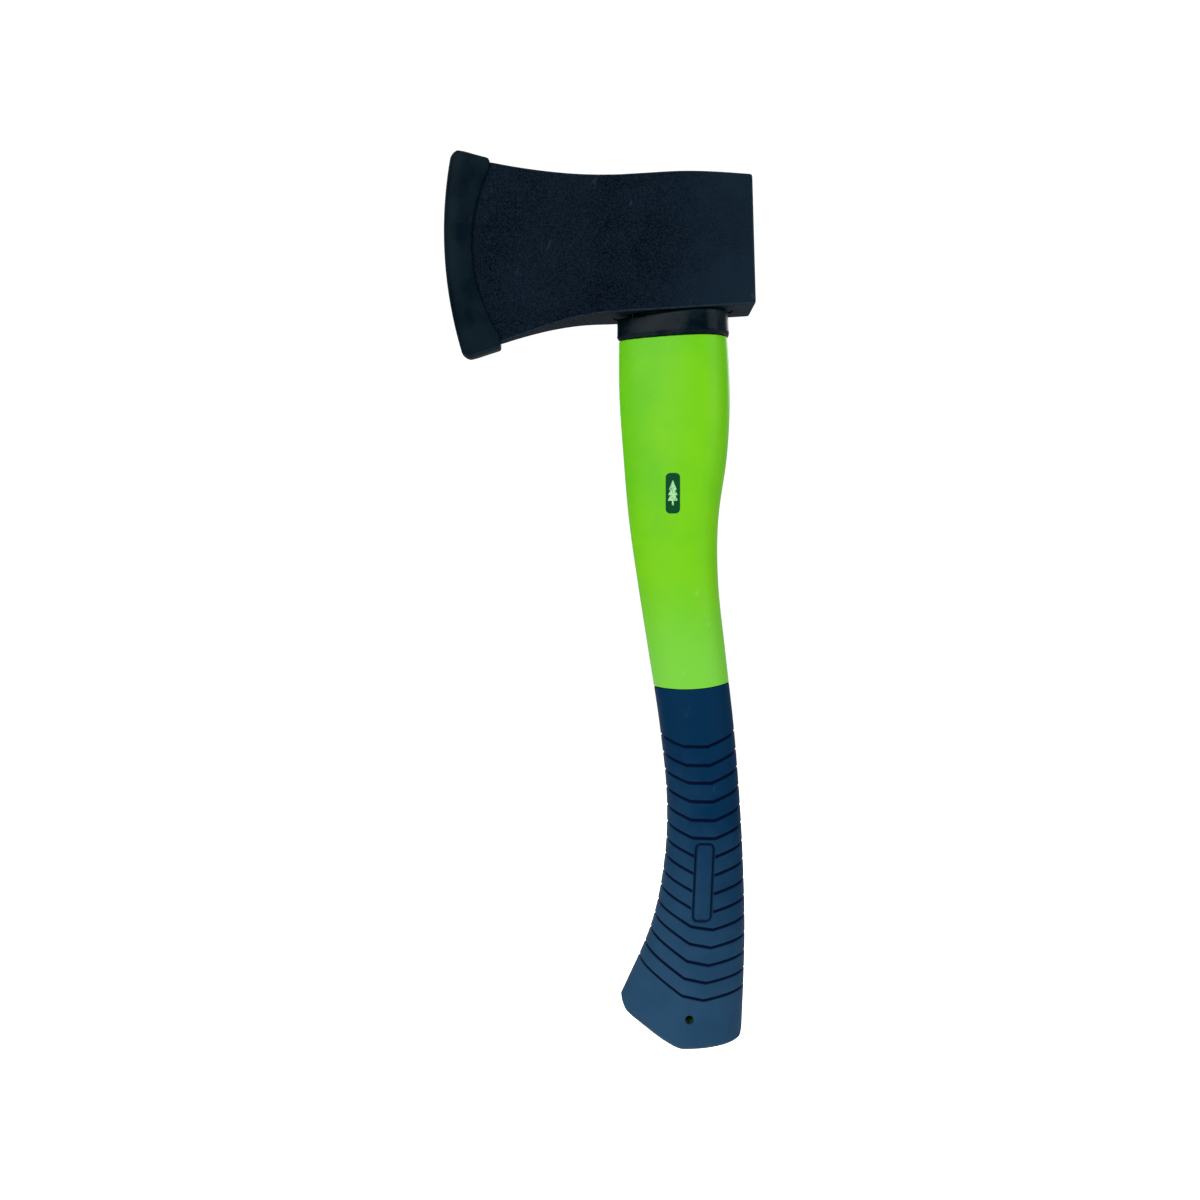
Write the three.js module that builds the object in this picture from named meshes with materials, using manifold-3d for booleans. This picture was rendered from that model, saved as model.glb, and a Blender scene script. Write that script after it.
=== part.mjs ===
// A hatchet: a forged head, a moulded two-part handle over a fibreglass core, and a rubber
// guard that pulls forward off the cutting edge. Millimetres, +Z up.
//
// The neck of the handle runs along Z and the cutting edge faces -X. The origin is on the
// handle's axis, level with the underside of the head. The head is hung at a slight angle, so
// it and its guard are drawn square, with x towards the poll, and then turned by HEAD_TILT.

import * as THREE from "three";
import { mergeVertices } from "three/addons/utils/BufferGeometryUtils.js";
import Module from "manifold-3d";

const wasm = await Module();
wasm.setup();

const GAP = 0.3; // between pieces that touch, are glued or are moulded together
const PAST = 5; // how far a cutting shape runs past what it cuts

// Head
const HEAD_TILT = THREE.MathUtils.degToRad(3.5);
const HEAD_THICKNESS = 27;
const POLL_REACH = 32; // handle axis to the foot of the poll
const POLL_HEIGHT = 50.9;
const POLL_LEAN = 1.7; // how far the top of the poll stands behind its foot
const CROWN_RISE = 3.1; // top of the head over the eye, above the poll
const CROWN_EASE = [14, 0.9, 10]; // its curve: start, forward of the poll and below the top, and end
const BIT_REACH = 87.7; // handle axis to the middle of the cutting edge
const BIT_RISE = 14.3; // toe, above the top of the poll
const BIT_DROP = 7.3; // heel, below the underside
const BIT_PARALLEL = 18; // stretch behind the edge where toe and heel run straight back
const BIT_RADIUS = 165.6; // curve of the cutting edge
const BIT_TAPER = 1.4; // what each side loses from the back of that stretch to past the edge
const TOP_EASE = [0.5, 5.6]; // the top's sweep up to the toe: above the crown, below the toe
const BEARD_EASE = [0.42, 0.6, 0.75, 2.6]; // the drop to the heel: shares of the way, and a drop
const BLADE_START = 18; // handle axis to where the cheeks start to thin
const BLADE_THICKNESS = 6.2; // at the back of the parallel stretch
const CHEEK_HOLLOW = 4.2; // half the thickness that the hollow of the cheek aims at
const HOLLOW_AT = 0.7; // share of the way to the parallel stretch
const EDGE_THICKNESS = 0.5;
const GRIND_ANGLE = THREE.MathUtils.degToRad(14);

// Eye, and the epoxy that bonds the core into it
const EYE_LENGTH = 36;
const EYE_WIDTH = 15.4;
const EYE_EGG = 0.2;
const SEAT_LENGTH = 48; // shallow recess round the lower mouth of the eye, over the collar
const SEAT_WIDTH = 24;
const SEAT_DEPTH = 0.5;
const BOND_RECESS = 1.2; // bond, below the lowest part of the head's top

// Guard
const GUARD_NOSE = 2.4; // rubber in front of the edge
const GUARD_WALL = 2.4; // rubber on each side of the bit
const GUARD_WRAP = 8.9; // how far it covers the cheek behind the middle of the edge
const GUARD_BACK_RADIUS = 66;
const GUARD_TOE = [1.4, 5.6]; // rubber over the toe, at the back and at the front
const GUARD_HEEL = [2.4, 5.6];
const GUARD_CORNER = 3;

// Handle
const HANDLE_LENGTH = 294.4;
const COLLAR_SEAT = 0.6; // top of the collar, below the head
const COLLAR_FOOT = 9.9; // bottom of the collar, likewise
const COLLAR_PROUD = 0.8;
const COLLAR_WALL = 2.6; // from the collar's outside to the neck inside it
const COLLAR_TILT = THREE.MathUtils.degToRad(1.4);
const GRIP_START = 148.3; // below the head
const GRIP_TILT = THREE.MathUtils.degToRad(3.2);
const GRIP_WALL = 3;
const KNOB_WALL = 9; // rubber under the end of the jacket
const PIN_HOLE_DIAMETER = 3.5;
const PIN_HOLE_AT = [5.8, 15.1]; // x and height above the knob's lowest point

// The handle's shape: share of its length, front edge x, back edge x, half thickness and how
// much the section is egg-shaped, blunt end to the back.
const HANDLE_STATIONS = [
  [-0.02, -21.5, 20.8, 12.5, 0.45],
  [0.1, -21.7, 22.8, 12.5, 0.45],
  [0.19, -20.0, 21.7, 12.1, 0.4],
  [0.28, -17.7, 18.1, 11.6, 0.3],
  [0.36, -14.4, 18.0, 11.4, 0.2],
  [0.46, -9.8, 21.0, 11.5, 0.08],
  [0.56, -5.3, 24.3, 11.7, 0],
  [0.66, -2.5, 26.7, 11.9, 0],
  [0.74, -3.4, 28.0, 12.1, 0],
  [0.83, -8.8, 28.7, 12.5, 0],
  [0.92, -20.4, 28.1, 12.8, -0.05],
  [1.04, -38.0, 26.4, 12.8, -0.1],
];
const SECTION_POWER = 2.3;
const EGG_TRIM = 0.25; // share of its egg that a section loses in thickness
const SEGMENTS = 40;
const STATION_STEP = 11;

// The knob's end from the side, as corners: x and height above its lowest point
const KNOB_TIP = [-22.8, 18.3];
const KNOB_FOOT = [2.6, 0];
const KNOB_HEEL = [27.4, 2.6];
const KNOB_ROUND = 7;
const KNOB_FRONT_SLOPE = 0.44; // x per millimetre of height, just above the tip

// Core, a bar through the middle of the handle: share of the handle's length and middle x
const CORE_STATIONS = [
  [-0.2, 0],
  [0.2, 0.6],
  [0.4, 3.4],
  [0.6, 10.4],
  [0.76, 12.6],
  [0.9, 11],
];
const CORE_DEPTH = 17;
const CORE_WIDTH = 9.6;
const CORE_REACH = 253; // below the head

// Badge, moulded flush into the near side
const BADGE_AT = [-0.6, -72.3];
const BADGE_SIZE = [5.6, 16];
const BADGE_ROUND = 1.8;
const BADGE_THICKNESS = 0.6;

// --- solids -------------------------------------------------------------------------------

function solid(geometry) {
  const plain = geometry.clone();
  plain.deleteAttribute("normal");
  plain.deleteAttribute("uv");
  const merged = mergeVertices(plain, 1e-4);
  return new wasm.Manifold(
    new wasm.Mesh({
      numProp: 3,
      vertProperties: new Float32Array(merged.attributes.position.array),
      triVerts: new Uint32Array(merged.index.array),
    }),
  );
}

function node(name, manifold, color, roughness, metalness) {
  const { vertProperties, triVerts } = manifold.getMesh();
  const geometry = new THREE.BufferGeometry();
  geometry.setAttribute("position", new THREE.BufferAttribute(vertProperties, 3));
  geometry.setIndex(new THREE.BufferAttribute(triVerts, 1));
  geometry.computeVertexNormals();
  const material = new THREE.MeshStandardMaterial({ color, roughness, metalness });
  const mesh = new THREE.Mesh(geometry, material);
  mesh.name = name;
  return mesh;
}

// A shape drawn in x and z, as a slab from y = near to y = far
function sideSlab(shape, near, far) {
  const geometry = new THREE.ExtrudeGeometry(shape, {
    depth: far - near,
    bevelEnabled: false,
    curveSegments: 10,
  });
  return geometry.rotateX(Math.PI / 2).translate(0, far, 0);
}

// A shape drawn in x and y, as a slab from z = low to z = high
function planSlab(shape, low, high) {
  const options = { depth: high - low, bevelEnabled: false, curveSegments: 14 };
  return new THREE.ExtrudeGeometry(shape, options).translate(0, 0, low);
}

// Everything below a plane through (0, 0, level), which rises towards +X by the angle tilt
function below(level, tilt) {
  const reach = 2 * HANDLE_LENGTH;
  const block = new THREE.BoxGeometry(reach, reach, reach);
  return solid(block.translate(0, 0, -reach / 2).rotateY(-tilt).translate(0, 0, level));
}

// A smooth curve through rows that start with their station, as a function of the station
function through(rows) {
  const stations = rows.map((row) => row[0]);
  const size = rows[0].length - 1;
  const values = rows.flatMap((row) => row.slice(1));
  const curve = new THREE.CubicInterpolant(stations, values, size);
  return (station) => [...curve.evaluate(station)];
}

// A closed body of horizontal sections. section(z) gives front x, back x, half thickness and
// egg, and each section is a superellipse, fuller at the back by its egg.
function stack(section, low, high, step, segments) {
  const levels = Math.ceil((high - low) / step);
  const geometry = new THREE.CylinderGeometry(1, 1, high - low, segments, levels);
  geometry.rotateX(Math.PI / 2).translate(0, 0, (low + high) / 2);
  const place = geometry.attributes.position;
  const round = (value) => Math.sign(value) * Math.abs(value) ** (2 / SECTION_POWER);
  for (let i = 0; i < place.count; i += 1) {
    const z = place.getZ(i);
    const radius = Math.hypot(place.getX(i), place.getY(i));
    const angle = Math.atan2(place.getY(i), place.getX(i));
    const [front, back, half, egg] = section(z);
    const along = radius * round(Math.cos(angle));
    const across = radius * round(Math.sin(angle));
    const fullness = (1 + egg * along) / (1 + EGG_TRIM * Math.abs(egg));
    place.setXY(i, (front + back) / 2 + (along * (back - front)) / 2, across * half * fullness);
  }
  return solid(geometry);
}

// --- head ---------------------------------------------------------------------------------

const bitTop = POLL_HEIGHT + BIT_RISE;
const bitMiddle = (bitTop - BIT_DROP) / 2;
const bitBack = -(BIT_REACH - BIT_PARALLEL);
const headTop = POLL_HEIGHT + CROWN_RISE;

// The cheeks from above, grown outwards all round
function cheekPlan(grow) {
  const half = HEAD_THICKNESS / 2 + grow;
  const blade = BLADE_THICKNESS / 2 + grow;
  const hollow = CHEEK_HOLLOW + grow;
  const thin = blade - BIT_TAPER;
  const front = -(BIT_REACH + PAST);
  const far = POLL_REACH + POLL_LEAN + PAST;
  const shape = new THREE.Shape();
  shape.moveTo(far, -half);
  shape.lineTo(far, half);
  shape.lineTo(-BLADE_START, half);
  shape.bezierCurveTo(-2 * BLADE_START, half, bitBack * HOLLOW_AT, hollow, bitBack, blade);
  shape.lineTo(front, thin);
  shape.lineTo(front, -thin);
  shape.lineTo(bitBack, -blade);
  shape.bezierCurveTo(bitBack * HOLLOW_AT, -hollow, -2 * BLADE_START, -half, -BLADE_START, -half);
  return planSlab(shape, -2 * POLL_HEIGHT, 3 * POLL_HEIGHT);
}

// The ground edge is the rim of a double cone, whose curve is the edge's
function edgeCone(grow, thickness) {
  const radius = BIT_RADIUS + grow;
  const hub = thickness / 2 + radius * Math.tan(GRIND_ANGLE);
  const profile = [
    new THREE.Vector2(0, -hub),
    new THREE.Vector2(radius, -thickness / 2),
    new THREE.Vector2(radius, thickness / 2),
    new THREE.Vector2(0, hub),
  ];
  return new THREE.LatheGeometry(profile, 240).translate(BIT_RADIUS - BIT_REACH, 0, bitMiddle);
}

function headOutline() {
  const front = -(BIT_REACH + PAST);
  const [crownStart, crownDrop, crownEnd] = CROWN_EASE;
  const [topRise, topDrop] = TOP_EASE;
  const [beardStart, beardFlat, beardSteep, beardDrop] = BEARD_EASE;
  const sweep = [-2 * BLADE_START, headTop + topRise, bitBack * HOLLOW_AT, bitTop - topDrop];
  const beard = [bitBack * beardSteep, -beardDrop, bitBack * beardFlat, 0];
  const shape = new THREE.Shape();
  shape.moveTo(POLL_REACH, 0);
  shape.lineTo(POLL_REACH + POLL_LEAN, POLL_HEIGHT);
  shape.bezierCurveTo(POLL_REACH - crownStart, headTop - crownDrop, crownEnd, headTop, 0, headTop);
  shape.lineTo(-BLADE_START, headTop);
  shape.bezierCurveTo(...sweep, bitBack, bitTop);
  shape.lineTo(front, bitTop);
  shape.lineTo(front, -BIT_DROP);
  shape.lineTo(bitBack, -BIT_DROP);
  shape.bezierCurveTo(...beard, bitBack * beardStart, 0);
  return shape;
}

const eyeSection = () => [-EYE_LENGTH / 2, EYE_LENGTH / 2, EYE_WIDTH / 2, EYE_EGG];
const seatSection = () => [-SEAT_LENGTH / 2, SEAT_LENGTH / 2, SEAT_WIDTH / 2, 0];

function grown(section, grow) {
  return (z) => {
    const [front, back, half, egg] = section(z);
    return [front - grow, back + grow, half + grow, egg];
  };
}

function head() {
  const blank = solid(sideSlab(headOutline(), -HEAD_THICKNESS, HEAD_THICKNESS).rotateY(-HEAD_TILT));
  const cheeks = solid(cheekPlan(0).rotateY(-HEAD_TILT));
  const edge = solid(edgeCone(0, EDGE_THICKNESS).rotateY(-HEAD_TILT));
  const eye = stack(eyeSection, -PAST, headTop + PAST, headTop + 2 * PAST, SEGMENTS);
  const mouth = stack(seatSection, -PAST, PAST, 2 * PAST, SEGMENTS);
  const seat = mouth.intersect(below(SEAT_DEPTH, HEAD_TILT));
  return blank.intersect(cheeks).intersect(edge).subtract(eye).subtract(seat);
}

// --- guard --------------------------------------------------------------------------------

function guardOutline() {
  const radius = BIT_RADIUS + GUARD_NOSE;
  const centre = BIT_RADIUS - BIT_REACH;
  const toe = bitTop + GUARD_TOE[1];
  const heel = -BIT_DROP - GUARD_HEEL[1];
  const noseAt = (z) => centre - Math.sqrt(radius ** 2 - (z - bitMiddle) ** 2);
  const angleAt = (z) => Math.PI - Math.asin((z - bitMiddle) / radius);
  const shape = new THREE.Shape();
  shape.moveTo(bitBack, bitTop + GUARD_TOE[0]);
  shape.lineTo(noseAt(toe) + GUARD_CORNER, toe);
  shape.quadraticCurveTo(noseAt(toe), toe, noseAt(toe - GUARD_CORNER), toe - GUARD_CORNER);
  shape.absarc(centre, bitMiddle, radius, angleAt(toe - GUARD_CORNER), angleAt(heel + GUARD_CORNER));
  shape.quadraticCurveTo(noseAt(heel), heel, noseAt(heel) + GUARD_CORNER, heel);
  shape.lineTo(bitBack, -BIT_DROP - GUARD_HEEL[0]);
  return shape;
}

// The bit's own room inside the guard, which lets it slide straight off the front
function bitRoom() {
  const front = -(BIT_REACH + PAST);
  const shape = new THREE.Shape();
  shape.moveTo(0, bitTop + GAP);
  shape.lineTo(front, bitTop + GAP);
  shape.lineTo(front, -BIT_DROP - GAP);
  shape.lineTo(0, -BIT_DROP - GAP);
  const slab = solid(sideSlab(shape, -HEAD_THICKNESS, HEAD_THICKNESS));
  return slab.intersect(solid(cheekPlan(GAP))).intersect(solid(edgeCone(GAP, EDGE_THICKNESS + GAP)));
}

function guard() {
  const slab = solid(sideSlab(guardOutline(), -HEAD_THICKNESS, HEAD_THICKNESS));
  const sides = solid(cheekPlan(GAP + GUARD_WALL));
  const nose = solid(edgeCone(GUARD_NOSE, EDGE_THICKNESS + 2 * GUARD_WALL));
  const scoop = new THREE.CylinderGeometry(GUARD_BACK_RADIUS, GUARD_BACK_RADIUS, HEAD_THICKNESS, 120);
  scoop.translate(GUARD_WRAP - BIT_REACH + GUARD_BACK_RADIUS, 0, bitMiddle);
  const square = slab.intersect(sides).intersect(nose).subtract(bitRoom()).subtract(solid(scoop));
  return square.rotate([0, THREE.MathUtils.radToDeg(-HEAD_TILT), 0]);
}

// --- handle -------------------------------------------------------------------------------

const handleAt = through(HANDLE_STATIONS);
const handleSection = (z) => handleAt(-z / HANDLE_LENGTH);

// The whole handle, grown outwards, before its knob is trimmed
function handleBody(grow) {
  const [[above], ...rest] = HANDLE_STATIONS;
  const [past] = rest.at(-1);
  const section = grown(handleSection, grow);
  return stack(section, -past * HANDLE_LENGTH, -above * HANDLE_LENGTH, STATION_STEP, SEGMENTS);
}

// All that lies above the end of the knob, raised by so much
function aboveKnob(raise) {
  const floor = raise - HANDLE_LENGTH;
  const reach = HANDLE_LENGTH / 2;
  const shape = new THREE.Shape();
  const [tip, foot, heel] = [KNOB_TIP, KNOB_FOOT, KNOB_HEEL].map(([x, z]) => [x, z + floor]);
  const tipSlope = (tip[1] - foot[1]) / (foot[0] - tip[0]);
  const heelSlope = (heel[1] - foot[1]) / (heel[0] - foot[0]);
  shape.moveTo(-reach, reach);
  shape.lineTo(-reach, tip[1] + reach / 2);
  shape.lineTo(tip[0] + KNOB_ROUND * KNOB_FRONT_SLOPE, tip[1] + KNOB_ROUND);
  shape.quadraticCurveTo(...tip, tip[0] + KNOB_ROUND, tip[1] - KNOB_ROUND * tipSlope);
  shape.lineTo(...foot);
  shape.lineTo(heel[0] - KNOB_ROUND, heel[1] - KNOB_ROUND * heelSlope);
  shape.quadraticCurveTo(...heel, heel[0], heel[1] + KNOB_ROUND);
  shape.lineTo(reach, heel[1] + reach);
  shape.lineTo(reach, reach);
  return solid(sideSlab(shape, -HEAD_THICKNESS, HEAD_THICKNESS));
}

const bondTop = headTop * Math.cos(HEAD_TILT) - (EYE_LENGTH / 2) * Math.sin(HEAD_TILT) - BOND_RECESS;
const coreAt = through(CORE_STATIONS);

function coreBody(grow) {
  const section = (z) => {
    const [middle] = coreAt(-z / HANDLE_LENGTH);
    return [middle - CORE_DEPTH / 2, middle + CORE_DEPTH / 2, CORE_WIDTH / 2, 0];
  };
  return stack(grown(section, grow), -CORE_REACH - grow, bondTop + grow, 2 * STATION_STEP, 28);
}

// Epoxy cast round the core, from the underside of the head to just below its top
function eyeBond() {
  const fill = stack(grown(eyeSection, -GAP), -PAST, bondTop, HANDLE_LENGTH, SEGMENTS);
  return fill.subtract(below(GAP, HEAD_TILT)).subtract(coreBody(GAP));
}

// A sleeve round the jacket's neck, just under the head
function collar() {
  const outside = handleBody(COLLAR_PROUD).intersect(below(-COLLAR_SEAT, HEAD_TILT));
  const neckRoom = handleBody(COLLAR_PROUD - COLLAR_WALL);
  return outside.subtract(below(-COLLAR_FOOT, COLLAR_TILT)).subtract(neckRoom);
}

function badgeSlab(grow) {
  const [x, z] = BADGE_AT;
  const width = BADGE_SIZE[0] / 2 + grow;
  const height = BADGE_SIZE[1] / 2 + grow;
  const round = BADGE_ROUND + grow;
  const shape = new THREE.Shape();
  shape.moveTo(x - width, z + height - round);
  shape.quadraticCurveTo(x - width, z + height, x - width + round, z + height);
  shape.lineTo(x + width - round, z + height);
  shape.quadraticCurveTo(x + width, z + height, x + width, z + height - round);
  shape.lineTo(x + width, z - height + round);
  shape.quadraticCurveTo(x + width, z - height, x + width - round, z - height);
  shape.lineTo(x - width + round, z - height);
  shape.quadraticCurveTo(x - width, z - height, x - width, z - height + round);
  return solid(sideSlab(shape, -HEAD_THICKNESS, 0));
}

// The neck fits the collar, the middle shows, and the spine runs down inside the grip
function jacket() {
  const neck = handleBody(COLLAR_PROUD - COLLAR_WALL - GAP);
  const middle = handleBody(0).intersect(below(-COLLAR_FOOT - GAP, COLLAR_TILT));
  const pocket = badgeSlab(GAP).subtract(handleBody(-BADGE_THICKNESS - GAP));
  const shell = neck.add(middle).subtract(below(-GRIP_START, GRIP_TILT)).subtract(pocket);
  const spine = handleBody(-GRIP_WALL).intersect(aboveKnob(KNOB_WALL));
  return shell.add(spine).intersect(below(-COLLAR_SEAT, HEAD_TILT)).subtract(coreBody(GAP));
}

function badge() {
  return badgeSlab(0).intersect(handleBody(0)).subtract(handleBody(-BADGE_THICKNESS));
}

// Rubber moulded over the spine, with the two holes left by the pins that held it in the mould
function grip() {
  const outside = handleBody(0).intersect(below(-GRIP_START - GAP, GRIP_TILT));
  const spineRoom = handleBody(GAP - GRIP_WALL).intersect(aboveKnob(KNOB_WALL - GAP));
  const radius = PIN_HOLE_DIAMETER / 2;
  const pins = new THREE.CylinderGeometry(radius, radius, 2 * HEAD_THICKNESS, 20);
  pins.translate(PIN_HOLE_AT[0], 0, PIN_HOLE_AT[1] - HANDLE_LENGTH);
  return outside.intersect(aboveKnob(0)).subtract(spineRoom).subtract(solid(pins));
}

const hatchet = new THREE.Group();
hatchet.add(
  node("head", head(), 0x141d26, 0.6, 0.3),
  node("edge_guard", guard(), 0x1b2529, 0.75, 0),
  node("eye_bond", eyeBond(), 0x16171a, 0.35, 0),
  node("core_rod", coreBody(0), 0xd8c58c, 0.5, 0),
  node("collar", collar(), 0x15181d, 0.25, 0),
  node("handle_jacket", jacket(), 0x78d22a, 0.35, 0),
  node("badge", badge(), 0x0b4a3c, 0.4, 0),
  node("grip", grip(), 0x1b3d62, 0.7, 0),
);

export default hatchet;
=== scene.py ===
"""A hatchet: fibreglass core, lime jacket, navy grip, badge, collar, head, eye bond, edge guard."""

import math

import bpy
import numpy as np
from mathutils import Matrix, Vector


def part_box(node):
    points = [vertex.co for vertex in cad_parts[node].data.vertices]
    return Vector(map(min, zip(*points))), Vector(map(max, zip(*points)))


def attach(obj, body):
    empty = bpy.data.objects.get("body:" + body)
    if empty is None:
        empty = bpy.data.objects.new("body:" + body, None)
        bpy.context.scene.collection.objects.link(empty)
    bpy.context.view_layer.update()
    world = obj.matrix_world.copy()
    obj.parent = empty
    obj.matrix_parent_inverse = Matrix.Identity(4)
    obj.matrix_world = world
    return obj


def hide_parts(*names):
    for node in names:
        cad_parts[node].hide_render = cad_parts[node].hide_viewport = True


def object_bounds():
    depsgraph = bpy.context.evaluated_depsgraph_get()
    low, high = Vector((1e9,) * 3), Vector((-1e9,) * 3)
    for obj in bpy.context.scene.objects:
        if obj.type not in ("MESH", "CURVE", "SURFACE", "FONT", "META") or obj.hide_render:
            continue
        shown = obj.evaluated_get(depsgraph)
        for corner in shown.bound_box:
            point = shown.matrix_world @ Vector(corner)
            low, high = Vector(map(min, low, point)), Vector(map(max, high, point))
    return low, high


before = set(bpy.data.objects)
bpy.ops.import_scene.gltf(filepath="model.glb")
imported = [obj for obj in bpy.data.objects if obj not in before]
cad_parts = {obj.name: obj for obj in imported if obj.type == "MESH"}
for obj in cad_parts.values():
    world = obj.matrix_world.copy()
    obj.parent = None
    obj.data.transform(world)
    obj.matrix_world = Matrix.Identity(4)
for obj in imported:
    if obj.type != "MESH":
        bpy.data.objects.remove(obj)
cad_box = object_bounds()

# --- Core ---------------------------------------------------------------------------------
# A pultruded bar of straw-coloured glass fibre and resin, sawn off square. The handle is
# moulded round it, and its bare upper end is bonded into the head's eye, where it shows.

FIBRE_DARK = (0.36, 0.26, 0.11, 1)
FIBRE_LIGHT = (0.66, 0.55, 0.30, 1)
FIBRE_PITCH = 2600  # fibres per metre across the bar
FIBRE_STRETCH = 0.02  # how little the fibres change along the bar
CLOUD_SHARE = 0.3  # how much of the colour's change is cloudy and not fibres


def new_material(name, roughness, specular=0.5):
    """A Principled material, its node tree, its shader, and its object coordinates."""
    material = bpy.data.materials.new(name)
    material.use_nodes = True
    tree = material.node_tree
    shader = tree.nodes["Principled BSDF"]
    shader.inputs["Roughness"].default_value = roughness
    shader.inputs["Specular IOR Level"].default_value = specular
    place = tree.nodes.new("ShaderNodeTexCoord").outputs["Object"]
    return material, tree, shader, place


def add_node(tree, kind, inputs=None, **settings):
    """A node with its settings and inputs; an input is a value or another node's output."""
    node = tree.nodes.new(kind)
    for name, value in settings.items():
        setattr(node, name, value)
    for key, value in (inputs or {}).items():
        if isinstance(value, bpy.types.NodeSocket):
            tree.links.new(value, node.inputs[key])
        else:
            node.inputs[key].default_value = value
    return node


def maths(tree, operation, *values):
    """The output of a Math node on values and sockets."""
    return add_node(tree, "ShaderNodeMath", dict(enumerate(values)), operation=operation).outputs[0]


def ramp(tree, value, low, high):
    """value from low to high as a smooth share from 0 to 1."""
    inputs = {"Value": value, "From Min": low, "From Max": high}
    node = add_node(tree, "ShaderNodeMapRange", inputs, interpolation_type="SMOOTHSTEP")
    return node.outputs["Result"]


def blend(tree, share, first, second):
    """first where share is 0, second where it is 1."""
    node = add_node(tree, "ShaderNodeMix", data_type="RGBA")
    sockets = node.inputs[0], node.inputs[6], node.inputs[7]
    for socket, value in zip(sockets, (share, first, second)):
        if isinstance(value, bpy.types.NodeSocket):
            tree.links.new(value, socket)
        else:
            socket.default_value = value
    return node.outputs[2]


def tint(tree, mask, amount, colour, other):
    """colour, taken an amount of the way to other where the mask is 1."""
    return blend(tree, maths(tree, "MULTIPLY", mask, amount), colour, other)


def noise(tree, place, scale, detail, roughness=0.5):
    inputs = {"Vector": place, "Scale": scale, "Detail": detail, "Roughness": roughness}
    return add_node(tree, "ShaderNodeTexNoise", inputs).outputs["Fac"]


def bump(tree, shader, height, distance):
    """height, from 0 to 1, as a relief of that distance on the shader's normal."""
    node = add_node(tree, "ShaderNodeBump", {"Height": height, "Distance": distance})
    tree.links.new(node.outputs["Normal"], shader.inputs["Normal"])


def new_effect(name, numbers, outputs):
    """A node group for several materials: itself, its inputs and its outputs. It takes a
    Place and the named numbers."""
    group = bpy.data.node_groups.new(name, "ShaderNodeTree")
    group.interface.new_socket("Place", in_out="INPUT", socket_type="NodeSocketVector")
    for label, usual in numbers.items():
        socket = group.interface.new_socket(label, in_out="INPUT", socket_type="NodeSocketFloat")
        socket.default_value = usual
    for label in outputs:
        group.interface.new_socket(label, in_out="OUTPUT", socket_type="NodeSocketFloat")
    given = group.nodes.new("NodeGroupInput").outputs
    return group, given, group.nodes.new("NodeGroupOutput").inputs


def effect(tree, group, place, **numbers):
    """The outputs of an effect in a material."""
    inputs = {"Place": place} | {label.capitalize(): value for label, value in numbers.items()}
    return add_node(tree, "ShaderNodeGroup", inputs, node_tree=group).outputs


mottle, given, made = new_effect("mottle", {"Scale": 40.0}, ("Mask",))
clouds = noise(mottle, given["Place"], given["Scale"], 4, 0.6)
mottle.links.new(ramp(mottle, clouds, 0.34, 0.66), made["Mask"])

grain, given, made = new_effect("grain", {"Scale": 1300.0}, ("Mask", "Height"))
fine = noise(grain, given["Place"], given["Scale"], 2, 0.6)
grain.links.new(ramp(grain, fine, 0.36, 0.64), made["Mask"])
grain.links.new(fine, made["Height"])

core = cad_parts["core_rod"]
fibreglass, tree, shader, place = new_material("fibreglass", 0.55)
along = add_node(tree, "ShaderNodeMapping", {"Vector": place, "Scale": (1, 1, FIBRE_STRETCH)})
fibres = effect(tree, grain, along.outputs[0], scale=FIBRE_PITCH)
clouds = effect(tree, mottle, place, scale=220)["Mask"]
share = maths(tree, "MULTIPLY", fibres["Mask"], 1 - CLOUD_SHARE)
share = maths(tree, "MULTIPLY_ADD", clouds, CLOUD_SHARE, share)
tree.links.new(blend(tree, share, FIBRE_DARK, FIBRE_LIGHT), shader.inputs["Base Color"])
bump(tree, shader, fibres["Height"], 0.00015)
core.data.materials.clear()
core.data.materials.append(fibreglass)

# --- Jacket -------------------------------------------------------------------------------
# Lime polypropylene injected round the core: the neck that the collar grips, the bare middle
# of the handle, and a thinner spine that runs down inside the grip.

# Share of the handle's length, front edge x, back edge x, half thickness, egg (mm)
HANDLE_STATIONS = (
    (-0.02, -21.5, 20.8, 12.5, 0.45),
    (0.1, -21.7, 22.8, 12.5, 0.45),
    (0.19, -20.0, 21.7, 12.1, 0.4),
    (0.28, -17.7, 18.1, 11.6, 0.3),
    (0.36, -14.4, 18.0, 11.4, 0.2),
    (0.46, -9.8, 21.0, 11.5, 0.08),
    (0.56, -5.3, 24.3, 11.7, 0),
    (0.66, -2.5, 26.7, 11.9, 0),
    (0.74, -3.4, 28.0, 12.1, 0),
    (0.83, -8.8, 28.7, 12.5, 0),
    (0.92, -20.4, 28.1, 12.8, -0.05),
    (1.04, -38.0, 26.4, 12.8, -0.1),
)
SECTION_POWER = 2.3
EGG_TRIM = 0.25
HEAD_TILT = math.radians(3.5)
NECK_TOP = 1.6  # below the head (mm)
COLLAR_SEAT = 0.6
COLLAR_FOOT = 9.9
COLLAR_TILT = math.radians(1.4)
COLLAR_PROUD = 0.8
COLLAR_WALL = 2.6
GRIP_START = 148.3
GRIP_TILT = math.radians(3.2)
EDGE_SAG = 1.6  # how far the jacket's edge dips on each side
GRIP_WALL = 3.0
GAP = 0.3  # kept between pieces that are moulded or glued together (mm)
LIME = (0.166, 0.540, 0.007, 1)
LIME_DEEP = (0.118, 0.490, 0.008, 1)
LIME_PAINTED_HAZE = (0.172, 0.560, 0.046, 1)  # just above the grip, a painted haze of reflected light
LIME_SCUFF = (0.36, 0.72, 0.16, 1)
LIME_ROUGH = 0.33
PALE_FROM, PALE_TO = -100, -145  # heights between which the green turns paler with a painted haze of reflected light (mm)
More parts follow.
